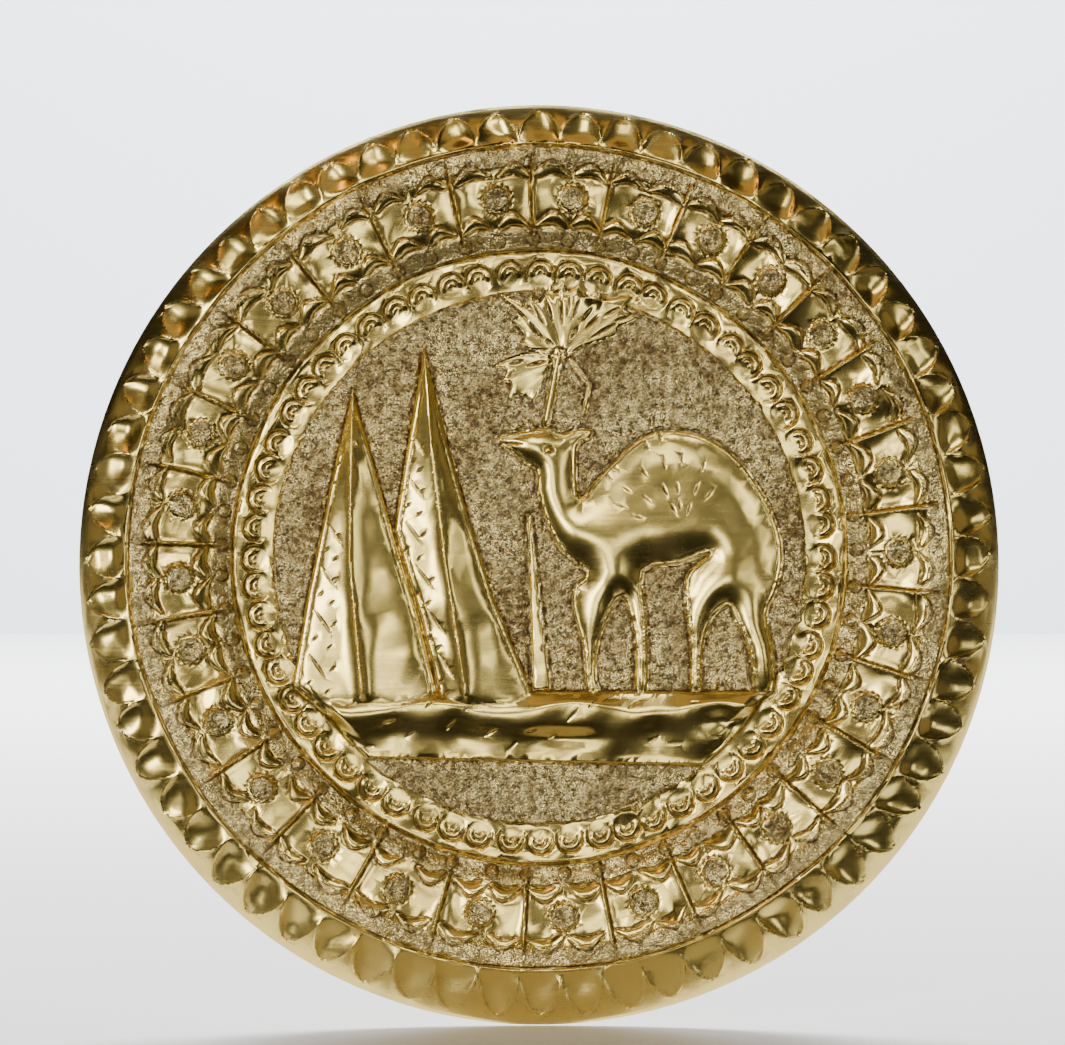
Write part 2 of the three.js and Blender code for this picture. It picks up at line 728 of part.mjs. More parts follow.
// Shares of a point between the corners of a triangle
function shares(u, v, [a, b, c]) {
  const whole = (b[0] - a[0]) * (c[1] - a[1]) - (b[1] - a[1]) * (c[0] - a[0]);
  const shareB = ((u - a[0]) * (c[1] - a[1]) - (v - a[1]) * (c[0] - a[0])) / whole;
  const shareC = ((b[0] - a[0]) * (v - a[1]) - (b[1] - a[1]) * (u - a[0])) / whole;
  return [1 - shareB - shareC, shareB, shareC];
}

// Lowers the corners of a back triangle, but never under the flat of the middle
function lower(back, corners, weights, drop) {
  const free = corners.filter((k) => back.heights[k] > 0);
  const share = corners.reduce((sum, k, n) => sum + (back.heights[k] > 0 ? weights[n] : 0), 0);
  free.forEach((k) => {
    back.heights[k] = Math.max(0, back.heights[k] - drop / Math.max(share, 0.2));
  });
}

// Presses the back away from the front where the two come too close
function pressApart(front, back) {
  for (const triangle of back.triangles) {
    const corners = [triangle.a, triangle.b, triangle.c];
    const places = corners.map((i) => back.places[i]);
    front.places.forEach(([u, v], i) => {
      const weights = shares(u, v, places);
      if (Math.min(...weights) < -1e-6) return;
      const level = corners.reduce((sum, k, n) => sum + back.heights[k] * weights[n], 0);
      const short = level - (front.heights[i] - THINNEST);
      if (short > 0) lower(back, corners, weights, short);
    });
  }
  for (const triangle of front.triangles) {
    const corners = [triangle.a, triangle.b, triangle.c];
    const places = corners.map((i) => front.places[i]);
    back.places.forEach(([u, v], i) => {
      const weights = shares(u, v, places);
      if (Math.min(...weights) < -1e-6) return;
      const level = corners.reduce((sum, k, n) => sum + front.heights[k] * weights[n], 0);
      back.heights[i] = Math.min(back.heights[i], level - THINNEST);
    });
  }
}

// The front, the back and the narrow edge that joins them
function sheetGeometry(front, back) {
  const points = [];
  const faces = [];
  const offset = front.places.length;
  for (const { places, heights } of [front, back]) {
    places.forEach(([u, v], i) => points.push(u, -heights[i], v + ORNAMENT_RISE));
  }
  for (const { a, b, c } of front.triangles) faces.push(a, b, c);
  for (const { a, b, c } of back.triangles) faces.push(offset + a, offset + c, offset + b);
  for (let i = 0; i < RIM_STEPS; i += 1) {
    const next = (i + 1) % RIM_STEPS;
    faces.push(next, i, offset + i);
    faces.push(next, offset + i, offset + next);
  }
  const geometry = new THREE.BufferGeometry();
  geometry.setAttribute("position", new THREE.Float32BufferAttribute(points, 3));
  geometry.setIndex(faces);
  geometry.computeVertexNormals();
  return geometry;
}

const frontSites = new Sites();
placeEdge(frontSites);
placePicture(frontSites, true);
placeBosses(frontSites);
frontSites.ring(RING_RADIUS, BOSSES, 0, 1);
placeBorder(frontSites);
placeFolds(frontSites, 7);
placeFlutes(frontSites, true);
frontSites.ring(CREST_RADIUS - 0.8, FLUTES, 0.5, 1.2);
frontSites.ring(BAND_RADIUS, PANELS * 2, 0.25, 2.2);
placePalm(frontSites);
placeGround(frontSites, 12);

const backSites = new Sites();
placeEdge(backSites);
placePicture(backSites, false);
backSites.ring(BACK_FLAT, BOSSES, 0, 2);
backSites.ring(BACK_RING, BOSSES, 0, 2);
placeFolds(backSites, 10);
placeFlutes(backSites, false);
backSites.ring(CREST_RADIUS, FLUTES, 0, 2);

const front = surfaceOver(frontSites, (u, v) => frontRelief(u, v) + SHEET);
const back = surfaceOver(backSites, backRelief);
for (let pass = 0; pass < 3; pass += 1) pressApart(front, back);

const plate = new THREE.Mesh(
  sheetGeometry(front, back),
  new THREE.MeshStandardMaterial({ color: 0xb08d3c, metalness: 1, roughness: 0.35 }),
);
plate.name = "plate";

const part = new THREE.Group();
part.name = "embossed_wall_plate";
part.add(plate);

export default part;
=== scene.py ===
# %% [markdown]
# # A raised and chased metal plate
#
# The object is a round wall plate, beaten out of one sheet of thin yellow metal. A fluted rim
# curls back round a border of panels, a ring of hooked bosses, and a picture in low relief: a
# camel before two pyramids and a palm. Everything on it is a height above one flat ground, so
# the whole front can be written as a single function of two numbers, right and up.
#
# The cells below first write that function a part at a time, then measure it over a grid,
# turn the grid into one closed sheet of metal, and at last give it its finish, light and camera.

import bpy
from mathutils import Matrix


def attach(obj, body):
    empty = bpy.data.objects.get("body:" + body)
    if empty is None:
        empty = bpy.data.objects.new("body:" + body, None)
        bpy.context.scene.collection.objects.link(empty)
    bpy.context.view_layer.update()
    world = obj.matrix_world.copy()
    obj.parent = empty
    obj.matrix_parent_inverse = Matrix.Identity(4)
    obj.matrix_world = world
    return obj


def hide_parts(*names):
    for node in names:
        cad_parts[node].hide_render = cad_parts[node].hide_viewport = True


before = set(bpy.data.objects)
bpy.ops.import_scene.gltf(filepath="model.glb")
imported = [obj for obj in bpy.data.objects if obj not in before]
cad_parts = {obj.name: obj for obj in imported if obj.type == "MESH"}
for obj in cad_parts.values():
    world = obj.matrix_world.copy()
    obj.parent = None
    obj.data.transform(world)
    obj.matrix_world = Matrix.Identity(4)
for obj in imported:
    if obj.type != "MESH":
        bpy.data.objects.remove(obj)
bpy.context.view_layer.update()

import bpy
import numpy as np
from mathutils import Vector

scene = bpy.context.scene
TURN = 2 * np.pi
MM = 0.001

# %% [markdown]
# ## Small tools for relief
#
# On the real plate every form is pushed up from behind or struck down from the front with a
# rounded punch, so no edge is perfectly sharp. A few small helpers say this in numbers: an easy
# step from low to high, a bell for lips and grooves, and the depth of a point inside an outline.
# They take whole arrays of points at once, because the surface is measured at half a million.


# %% Easy step, stroke and outline
def smooth(start, stop, value):
    """Easy step: 0 before start, 1 after stop, and 3t² - 2t³ in between."""
    t = np.clip((value - start) / (stop - start), 0, 1)
    return t * t * (3 - 2 * t)


def bell(away, width):
    """Bell curve e^-(distance / width)²."""
    return np.exp(-((away / width) ** 2))


def along_stroke(u, v, a, b):
    """Share of the way along a stroke from a to b, and the distance of each point from it."""
    du, dv = b[0] - a[0], b[1] - a[1]
    t = np.clip(((u - a[0]) * du + (v - a[1]) * dv) / (du * du + dv * dv), 0, 1)
    return t, np.hypot(u - a[0] - du * t, v - a[1] - dv * t)


def line_distance(u, v, line):
    """Least distance of each point from a line of strokes."""
    away = np.full(u.shape, 1e9)
    for a, b in zip(line[:-1], line[1:]):
        away = np.minimum(away, along_stroke(u, v, a, b)[1])
    return away


def depth_in(u, v, outline):
    """Distance inside a closed outline, negative outside: even-odd crossings give the sign."""
    inside = np.zeros(u.shape, bool)
    closed = list(outline) + [outline[0]]
    for a, b in zip(closed[:-1], closed[1:]):
        crosses = (a[1] > v) != (b[1] > v)
        if a[1] != b[1]:
            inside ^= crosses & (u < a[0] + (b[0] - a[0]) * (v - a[1]) / (b[1] - a[1]))
    away = line_distance(u, v, closed)
    return np.where(inside, away, -away)


def rounded(places, parts=3):
    """A closed outline through the same places, with the corners eased: each new place is the
    Catmull-Rom blend of its four neighbours, at even shares of every side."""
    p = np.array(places, float)
    before, after, beyond = np.roll(p, 1, 0), np.roll(p, -1, 0), np.roll(p, -2, 0)
    rows = []
    for t in np.arange(parts) / parts:
        rows.append(0.5 * (2 * p + (after - before) * t
                           + (2 * before - 5 * p + 4 * after - beyond) * t**2
                           + (3 * p - before - 3 * after + beyond) * t**3))
    return [tuple(row) for row in np.stack(rows, 1).reshape(-1, p.shape[1])]


def strokes_cut(u, v, strokes, width):
    """Soft grooves: e^-(distance / width)² on each stroke, and where strokes meet the deeper one.
    Each is thinner and shallower towards its ends, as a tilted liner punch leaves it."""
    cut = np.zeros(u.shape)
    for a, b in strokes:
        middle = ((a[0] + b[0]) / 2, (a[1] + b[1]) / 2)
        reach = np.hypot(b[0] - a[0], b[1] - a[1]) / 2 + 3 * width
        near = (abs(u - middle[0]) < reach) & (abs(v - middle[1]) < reach)
        if near.any():
            t, away = along_stroke(u[near], v[near], a, b)
            full = 0.55 + 0.45 * np.sin(np.pi * t)
            cut[near] = np.maximum(cut[near], full * bell(away, width * full))
    return cut


print("Half way through an easy step:", smooth(0, 1, np.array(0.5)))

# %% [markdown]
# ## The rim
#
# The rim curls back from a bright crest to the edge, and it is scooped into sixty-four flutes
# with pointed outer ends, each a little different, because each was beaten by hand. One modelled
# flute, turned round the centre, would make them all alike. In a function, each flute has its
# own width, depth and lean from a seeded table. The centre of the ornament lies 2.6 mm above the
# centre of the rim, as on the real plate, so the strip outside the flutes is narrower at the top.

# %% Rim
PLATE_RADIUS = 150.0
SHEET = 0.8
ORNAMENT_RISE = 2.6
CREST_RADIUS = 134.5
CREST_HEIGHT = 9.0
CURL_DROP = 6.5
FLUTES = 64
FLUTE_DEPTH = 1.5
FLUTE_WAIST = 0.1  # share of the rim's width at which the arch begins
FLUTE_SHOULDER = 0.12  # share of the arch that keeps its full width
FLUTE_ARCH = 0.6  # power of the arch: 0.5 is round, 1 pointed
FLUTE_LIP = 0.32
EDGE_DROP = 0.35
hand = np.random.default_rng(7)
FLUTE_LEAN = hand.normal(0, 0.1, FLUTES)
FLUTE_WIDE = hand.uniform(0.88, 1.0, FLUTES)
FLUTE_FALL = hand.uniform(0.85, 1.2, FLUTES)
FLUTE_TIP = hand.uniform(0.78, 0.88, FLUTES)


def edge_radius(angle):
    """Distance from the centre of the ornament to the edge of the plate in a direction."""
    sideways = ORNAMENT_RISE * np.sin(angle)
    return np.sqrt(PLATE_RADIUS**2 - sideways**2) - ORNAMENT_RISE * np.cos(angle)


def rim_relief(radius, angle):
    """Crest less curl x t², less a scoop 1 - side² that is deeper on its clockwise half, plus a
    thin lip round the scoop. Each scoop ends in an arch of half width (1 - y²)^0.6."""
    depth = edge_radius(angle) - CREST_RADIUS
    t = np.maximum(0, (radius - CREST_RADIUS) / depth)
    base = CREST_HEIGHT - CURL_DROP * t**2
    pitch = TURN / FLUTES
    k = np.round(angle / pitch).astype(int)
    offset = (angle - k * pitch) / pitch * 2
    k %= FLUTES
    tip = FLUTE_TIP[k]
    y = np.clip((t - FLUTE_WAIST) / (tip - FLUTE_WAIST), 0, None)
    off = offset - FLUTE_LEAN[k] * np.minimum(y, 1)
    side = abs(off)
    way = np.maximum(np.minimum(y, 1) - FLUTE_SHOULDER, 0) / (1 - FLUTE_SHOULDER)
    arch = np.clip(1 - way**2, 0, 1) ** FLUTE_ARCH
    half = np.maximum(arch * (1 + (FLUTE_WIDE[k] - 1) * np.minimum(y * 3, 1)), 1e-3)
    within = np.clip(1 - (side / half) ** 2, 0, 1) * (1 + 0.5 * np.clip(off / half, -1, 1))
    fall = FLUTE_DEPTH * FLUTE_FALL[k] * smooth(-0.06, 0.3, t) * smooth(1.1, 0.3, y)
    arc = radius * pitch / 2
    lip = bell((side - half) * arc, 0.5) * smooth(0.0, 0.2, y)
    lip *= np.where(y > 1, bell((y - 1) * (tip - FLUTE_WAIST) * depth, 0.6), 1)
    edge = EDGE_DROP * smooth(depth - 1.2, depth, t * depth)
    return base - fall * within + FLUTE_LIP * lip - edge


print("Flutes:", FLUTES, "of", round(TURN * CREST_RADIUS / FLUTES, 1), "mm")

# %% [markdown]
# ## The border of panels
#
# Inside the crest runs a sloping border, cut by creases into twenty-nine panels. Their spacing
# drifts, as marks stepped round by eye do, so it is written as a few slow waves. Each panel has
# a scalloped rosette and four small curled leaves, between two bands of fine dots.

# %% Panels and creases
RING_RADIUS = 99.0
RING_HEIGHT = 2.0
BAND_RADIUS = 112.0
BAND_HEIGHT = 7.0
PANELS = 29
PANEL_START = 4.0  # degrees, as the drift is
DRIFT = ((-1.95, 0.3), (0.55, 0.05), (-0.5, 1.05))
FOLD_HEIGHT = 1.5


def laid_angle(place):
    """Angle of a mark: its even share of the turn, plus three slow waves of drift."""
    even = TURN * place / PANELS
    drift = PANEL_START
    for times, (sine, cosine) in enumerate(DRIFT, start=1):
        drift = drift + sine * np.sin(times * even) + cosine * np.cos(times * even)
    return even + np.radians(drift)


ROSETTES = laid_angle(np.arange(PANELS))
FOLDS = laid_angle(np.arange(PANELS) + 0.47)
print("Panels from", np.degrees(np.diff(FOLDS)).min().round(1), "to",
      np.degrees(np.diff(FOLDS)).max().round(1), "degrees")


def around(angle, marks):
    """Signed angle from the nearest mark, and which mark that is."""
    away = (angle[:, None] - marks[None, :] + np.pi) % TURN - np.pi
    nearest = np.abs(away).argmin(axis=1)
    return away[np.arange(len(angle)), nearest], nearest


loose = np.random.default_rng(11)
PANEL_TILT = loose.normal(-0.3, 0.9, PANELS)
PANEL_CUSHION = loose.uniform(0.2, 1.5, PANELS)


def panel_share(angle):
    """Which panel each place lies in, its share of the way across it, and the panel's width."""
    nearest, k = around(angle, FOLDS)
    first = np.where(nearest >= 0, k, k - 1) % PANELS
    wide = np.diff(np.append(FOLDS, FOLDS[0] + TURN))[first]
    return first, np.where(nearest >= 0, nearest, nearest + wide) / wide, wide


def cushion_relief(radius, angle):
    """Each panel leans to one side by its own share of a mm, and swells in its middle."""
    first, share, _ = panel_share(angle)
    reach = smooth(100, 107, radius) * smooth(134, 127, radius)
    lean = PANEL_TILT[first] * (share - 0.5)
    return reach * (lean + PANEL_CUSHION[first] * np.sin(np.pi * share) ** 2)


def crease_relief(radius, angle):
    """A raised crease: e^(-distance / wing) on both sides, the wing three times as long on the
    clockwise side, with a chased line along it."""
    away, _ = around(angle, FOLDS)
    arc = away * radius
    reach = smooth(99, 106, radius) * smooth(134, 126, radius)
    wing = np.where(arc > 0, np.exp(-arc / 4.5), np.exp(arc / 1.5))
    line = bell(arc, 0.4) - 0.8 * bell(arc + 1.0, 0.4)
    return reach * (FOLD_HEIGHT * wing + 0.3 * line) + 0.15 * line * smooth(99, 100, radius)


# %% Rosettes
ROSETTE_CIRCLE = 117.0
ROSETTE_RADIUS = 5.2
ROSETTE_SCALLOPS = 16
DISH_DEPTH = 0.75
DISH_OFF = loose.normal(0, 0.5, (2, PANELS))


def from_rosette(u, v, angle):
    """Offset of each place from the middle of the nearest rosette, and which rosette that is."""
    _, k = around(angle, ROSETTES)
    return u - ROSETTE_CIRCLE * np.sin(ROSETTES[k]), v - ROSETTE_CIRCLE * np.cos(ROSETTES[k]), k


def rosette_relief(u, v, angle):
    """A low disc: a scalloped groove round it, and a dish in it that is a little off its middle."""
    du, dv, k = from_rosette(u, v, angle)
    away = np.hypot(du, dv)
    turn = np.arctan2(dv, du)
    scallop = ROSETTE_RADIUS - 0.7 + 0.7 * np.abs(np.cos(ROSETTE_SCALLOPS / 2 * turn))
    disc = 0.35 * smooth(ROSETTE_RADIUS + 0.3, ROSETTE_RADIUS - 1, away)
    groove = 0.4 * bell(away - scallop, 0.33)
    dish = DISH_DEPTH * smooth(4.1, 2.2, np.hypot(du - DISH_OFF[0][k], dv - DISH_OFF[1][k]))
    return disc - groove - dish


print("Rosettes:", PANELS, "of", 2 * ROSETTE_RADIUS, "mm")

# %% Leaves and knobs
LEAF_CIRCLES = ((108.8, 5.8), (125.0, 6.6))  # radius and half length of each row
LEAF_PLACES = (0.26, 0.76)  # shares of the way across a panel
LEAF_HALF_WIDTH = 2.6
KNOB_CIRCLE = 103.4
KNOB_RADIUS = 2.1
LEAF_WAY = hand.choice((-1, 1), (2, 2, PANELS), p=(0.3, 0.7))
LEAF_PLACE = hand.normal(0, 0.025, (2, 2, PANELS))
LEAF_SIZE = hand.uniform(0.85, 1.12, (2, 2, PANELS))
LEAF_TILT = hand.normal(0, 0.5, (2, 2, PANELS))


def leaf_relief(radius, angle):
    """Four commas in each panel. x runs from the round head to the tail, the half width is
    sin(pi x)^0.7 x (1.3 - 0.85 x), and the middle line is a sine arch that levels at the tail.
    Across it runs 1 - q², a little higher on the outer side, and a groove goes round it."""
    first, share, wide = panel_share(angle)
    height = np.zeros(radius.shape)
    for row, (circle, long) in enumerate(LEAF_CIRCLES):
        for column, middle in enumerate(LEAF_PLACES):
            place = middle + LEAF_PLACE[row, column, first]
            size = LEAF_SIZE[row, column, first]
            s = LEAF_WAY[row, column, first] * (share - place) * wide * circle / (long * size)
            x = np.clip((s + 1) / 2, 0, 1)
            body = np.clip(np.sin(np.pi * x), 1e-4, 1) ** 0.7
            half = LEAF_HALF_WIDTH * size * body * (1.3 - 0.85 * x)
            line = 1.5 * np.sin(np.pi * (1.7 * x - 0.3)) + LEAF_TILT[row, column, first] * s
            off = radius - circle - line
            q = off / np.maximum(half, 0.05)
            inside = (np.abs(s) < 1) & (np.abs(q) < 1)
            height += np.where(inside, (1 - q**2) * (0.85 + 0.25 * q) * body, 0)
            groove = bell(np.abs(off) - half - 0.1, 0.34) * (np.abs(s) < 0.98)
            height -= 0.4 * groove
    return height


def knob_relief(u, v, radius, angle):
    """Low round knobs in the inner band, one on each crease and one between."""
    marks = np.concatenate([FOLDS, FOLDS + np.pi / PANELS])
    _, k = around(angle, marks)
    away = np.hypot(u - KNOB_CIRCLE * np.sin(marks[k]), v - KNOB_CIRCLE * np.cos(marks[k]))
    return 0.7 * smooth(KNOB_RADIUS, 0.9, away) - 0.25 * bell(away - 2.2, 0.4)


print("Leaves:", LEAF_WAY.size, "knobs:", 2 * PANELS)

# %% [markdown]
# ## Hammer marks
#
# Beaten sheet is never flat. Its slow swells break the light into patches, so they are in the
# mesh and not only in the shading. A sum of plane waves is as smooth as annealed metal.

# %% Swell of the sheet
WAVES = 18
WAVE_HEIGHT = 0.0058  # height of a wave for each mm of its length
wave_turn = hand.uniform(0, TURN, WAVES)
wave_long = hand.uniform(8, 24, WAVES)
wave_start = hand.uniform(0, TURN, WAVES)


def swell(u, v):
    """Sum of plane waves 8 to 24 mm long: 0.0058 x length x sin(turn x way / length + start).
    The forms call it with u and v stretched, for waves of another length."""
    height = np.zeros(u.shape)
    for turn, length, start in zip(wave_turn, wave_long, wave_start):
        phase = (u * np.cos(turn) + v * np.sin(turn)) * TURN / length + start
        height += WAVE_HEIGHT * length * np.sin(phase)
    return height


print("Waves in the sheet:", WAVES)

# %% Border
CHASED_LINES = ((99.8, 0.6), (133.6, 0.5))  # radius and depth


def border_relief(u, v, radius, angle):
    """A slope from the ring to the crest, and on it the creases, rosettes, leaves and lines."""
    climb = smooth(RING_RADIUS - 1, BAND_RADIUS + 2, radius)
    height = RING_HEIGHT + (BAND_HEIGHT - RING_HEIGHT) * climb
    height += (CREST_HEIGHT - BAND_HEIGHT) * smooth(BAND_RADIUS, CREST_RADIUS, radius)
    height += crease_relief(radius, angle) + rosette_relief(u, v, angle)
    height += cushion_relief(radius, angle)
    height += leaf_relief(radius, angle) + knob_relief(u, v, radius, angle)
    for circle, deep in CHASED_LINES:
        wander = circle + 0.25 * np.sin(angle * 11 + circle)
        height -= deep * bell(radius - wander, 0.42)
        height += 0.3 * bell(radius - wander - 0.9, 0.5)
    return height


print("Border rises from", RING_HEIGHT, "to", CREST_HEIGHT, "mm")

# %% [markdown]
# ## The ring of bosses
#
# Sixty hooked bosses stand in sunk pockets, with a thin cusp between each two. One hollow punch
# makes each boss in one blow, so they are almost alike.

# %% Bosses
BOSSES = 60
BOSS_CIRCLE = 92.6
OUTER_ARC = (1.1, 2.9, 1.25)  # height, radius and half width of the boss's outer arc
INNER_ARC = (0.6, 1.1, 0.7)
POCKET_RADIUS = 4.6
FIELD_RADIUS = 86.0
BOSS_SHIFT = hand.normal(0, 0.006, BOSSES)
BOSS_TALL = hand.uniform(0.8, 1.1, BOSSES)


def ring_relief(u, v, radius, angle):
    """A bank with pockets, and in each pocket two nested arcs, open towards the picture."""
    pitch = TURN / BOSSES
    k = np.round(angle / pitch).astype(int)
    middle = k * pitch + BOSS_SHIFT[k % BOSSES]
    cu, cv = BOSS_CIRCLE * np.sin(middle), BOSS_CIRCLE * np.cos(middle)
    away = np.hypot(u - cu, v - cv)
    outward = radius * np.cos(angle - middle) - BOSS_CIRCLE
    bank = RING_HEIGHT * smooth(FIELD_RADIUS + 1, RING_RADIUS - 2.5, radius)
    bank *= smooth(POCKET_RADIUS - 1.0, POCKET_RADIUS + 0.6, away)
    way = outward / np.maximum(away, 1e-3)
    hook = smooth(-0.55, 0.25, way) * BOSS_TALL[k % BOSSES]
    outer, inner = (
        high * np.clip(1 - ((away - circle) / half) ** 2, 0, 1)
        for high, circle, half in (OUTER_ARC, INNER_ARC)
    )
    return bank + hook * np.maximum(outer, inner)


print("Bosses:", BOSSES, "at every", round(TURN * BOSS_CIRCLE / BOSSES, 1), "mm")

# %% [markdown]
# ## The camel
#
# The camel is the highest form, raised from behind and then outlined from the front. Each place
# on its outline also says how steeply the flank rises there. The body is the soft least of all
# those rising flanks, which rounds it as a hammer does.

# %% Camel
STEP = 0.9
STEP_WIDTH = 1.1
CAMEL_TOP = 7.4
CAMEL = (  # right, up, and the pitch of the flank
    (-13.7, 39.1, 1), (-8.8, 40.6, 0.9), (2.9, 42.3, 0.9), (7.5, 40.4, 0.9),
    (12.7, 42, 0.9), (17.6, 41.4, 0.8), (16.6, 38.8, 0.8), (12.7, 36.2, 0.9), (12.4, 28.3, 0.9),
    (13.4, 19.5, 0.6), (19.9, 26.7, 0.3), (28, 34.8, 0.25), (36.2, 40.4, 0.25),
    (45.9, 41.4, 0.25), (55.7, 38.8, 0.25), (65.5, 31.6, 0.25), (73.6, 20.2, 0.25),
    (78.5, 8.8, 0.25), (79.8, -1, 0.27), (77.8, -10.7, 0.45),
    (74.6, -18.9, 0.8), (76.9, -30.3, 0.9), (76.9, -44, 0.9), (70.4, -44, 0.9),
    (68.1, -30.3, 0.9), (63.8, -20.5, 0.8), (61.2, -16.3, 0.7), (55.7, -22.1, 0.8),
    (53.4, -33.5, 0.9), (53.4, -44, 0.9), (49.2, -44, 0.9), (49.2, -30.3, 0.9),
    (47.6, -17.3, 0.8), (47.6, -9.1, 0.6), (49.2, -4.2, 0.6),
    (55.4, 1, 0.6), (45.9, -2.6, 0.55), (34.5, -4.9, 0.55),
    (35.5, -20.5, 0.9), (35.5, -44, 0.9), (31.3, -44, 0.9), (31.3, -30.3, 0.9),
    (29, -17.3, 0.8), (26.4, -14, 0.7), (19.9, -27, 0.9), (18.9, -40.1, 0.9),
    (20.8, -44, 0.9), (15.6, -44, 0.9), (14.3, -30.3, 0.9), (11.7, -20.5, 0.8),
    (10.7, -14, 0.8), (11.7, -9.1, 0.8),
    (15, -4.9, 0.7), (6.8, 2.3, 0.75), (2, 12.1, 0.85), (-0.7, 21.8, 0.9),
    (-1.3, 28.3, 0.9), (-6.2, 31.6, 0.9), (-11.7, 35.8, 1),
)
ROUNDING = 1.4
PITCH = 0.85  # all pitches are times this
CAMEL_ROUND = rounded(CAMEL)
CAMEL_LINE = [place[:2] for place in CAMEL_ROUND]
EYE = (3.3, 34.9)
MOUTH = ((-12.5, 37.2), (-5.5, 36.9))
FAN = (46.9, 9.8)
# Distance out, number of strokes, first and last angle of each row.
FAN_ROWS = ((5, 3, -0.5, 0.3), (12, 6, -1.3, 0.75), (20, 6, -1.25, 0.3), (28, 4, -1.05, -0.2))


def hump_strokes():
    """Rows of short strokes that fan out from the middle of the flank, each row further out."""
    strokes = []
    for start, count, low, high in FAN_ROWS:
        for turn in np.linspace(low, high, count) + hand.normal(0, 0.06, count):
            out = np.array([np.sin(turn), np.cos(turn)])
            first = start + hand.uniform(-1, 1)
            strokes.append((FAN + out * first, FAN + out * (first + hand.uniform(3.2, 4.6))))
    return strokes


HUMP_STROKES = hump_strokes()
print("Camel outline places:", len(CAMEL), "strokes on the hump:", len(HUMP_STROKES))


def camel_relief(u, v, fine=1.0):
    """Outline step, plus top x tanh(body / top), where body is the soft least of pitch x distance
    over all edges: -r log(sum of e^(-pitch x distance / r) / 2). Also gives the depth inside."""
    full, full_depth = np.zeros(u.shape), np.full(u.shape, -20.0)
    box = (u > -18) & (u < 84) & (v > -48) & (v < 47)
    u, v = u[box], v[box]
    depth = depth_in(u, v, CAMEL_LINE)
    total = np.zeros(u.shape)
    for a, b in zip(CAMEL_ROUND, CAMEL_ROUND[1:] + CAMEL_ROUND[:1]):
        t, away = along_stroke(u, v, a, b)
        total += np.exp(-PITCH * (a[2] + (b[2] - a[2]) * t) * away / ROUNDING) / 2
    body = np.maximum(0, -ROUNDING * np.log(total + 1e-30))
    height = STEP * smooth(0, STEP_WIDTH, depth) + CAMEL_TOP * np.tanh(body / CAMEL_TOP)
    height -= 0.3 * bell(depth - 1.5, 0.35)
    height += 0.6 * swell(u * 0.6 + 40, v * 0.6) * smooth(2, 9, depth)
    eye = np.hypot(u - EYE[0], (v - EYE[1]) * 1.3)
    height -= 0.5 * bell(eye - 1.5, 0.4) - 0.3 * bell(eye, 0.8)
    height -= 0.6 * fine * strokes_cut(u, v, [MOUTH], 0.45)
    height -= 0.35 * fine * strokes_cut(u, v, HUMP_STROKES, 0.42)
    full[box], full_depth[box] = np.where(depth > 0, height, 0), depth
    return full, full_depth


# %% [markdown]
# ## The pyramids, the ground under them and the palm
#
# These are lower forms. Each pyramid has a ridge and a hatched shadow side, the ground is a
# band with a wavy crest and scoops under it, and the palm is flat leafwork with lens-shaped cuts.

# %% Pyramids
LEFT_PYRAMID = (
    (-60.9, 56), (-68.1, 25.1), (-76.2, -14), (-81, -43), (-70, -52), (-33.5, -52),
    (-33.2, -43.3), (-38.8, -20.5), (-47.6, 8.8),
)
LEFT_RIDGE = ((-61, 54), (-61.6, -1), (-57.6, -45))
RIGHT_PYRAMID = (
    (-37.5, 70.7), (-43.6, 34.8), (-47.6, 8.8), (-38.8, -20.5), (-33.2, -43.3), (-33, -52),
    (1, -52), (-2.9, -41.7), (-14.3, -14), (-22.5, 12.1), (-30.6, 41.4),
)
RIGHT_RIDGE = ((-37, 68), (-35.5, 41.4), (-30.6, -1), (-23.8, -45))
RIDGE_RISE = 4.2
SHADE_BULGE, SHADE_SLOPE = 1.9, 3.6  # of the hatched face
HATCH_SPACING = 14.5


def hatch_strokes(outline, ridge):
    """On the shadow side, long strokes slant down towards the ridge, with short ones between."""
    strokes = []
    up, right = np.array(ridge)[::-1].T[::-1]
    for v in np.arange(-36, 40, HATCH_SPACING):
        middle = np.interp(v, up, right)
        reach = np.arange(1.0, 24)
        wide = reach[depth_in(middle - reach, np.full(23, v), outline) > 0].max()
        if wide > 7:
            u = middle - 0.78 * wide
            strokes.append(((u, v + 4), (u + min(5.4, 0.5 * wide), v - 3.6)))
            for share, drop in ((0.78, 5), (0.42, 0.5), (0.5, 8)):
                u = middle - share * wide
                strokes.append(((u - 0.9, v - drop - 0.8), (u + 0.9, v - drop + 0.8)))
    return strokes


PYRAMIDS = [
    (outline, ridge, slope, bulge, hatch_strokes(outline, ridge))
    for outline, ridge, slope, bulge in (
        (LEFT_PYRAMID, LEFT_RIDGE, 3.2, 1.9), (RIGHT_PYRAMID, RIGHT_RIDGE, 7.5, 1.0))
]
print("Hatching strokes:", [len(p[4]) for p in PYRAMIDS])


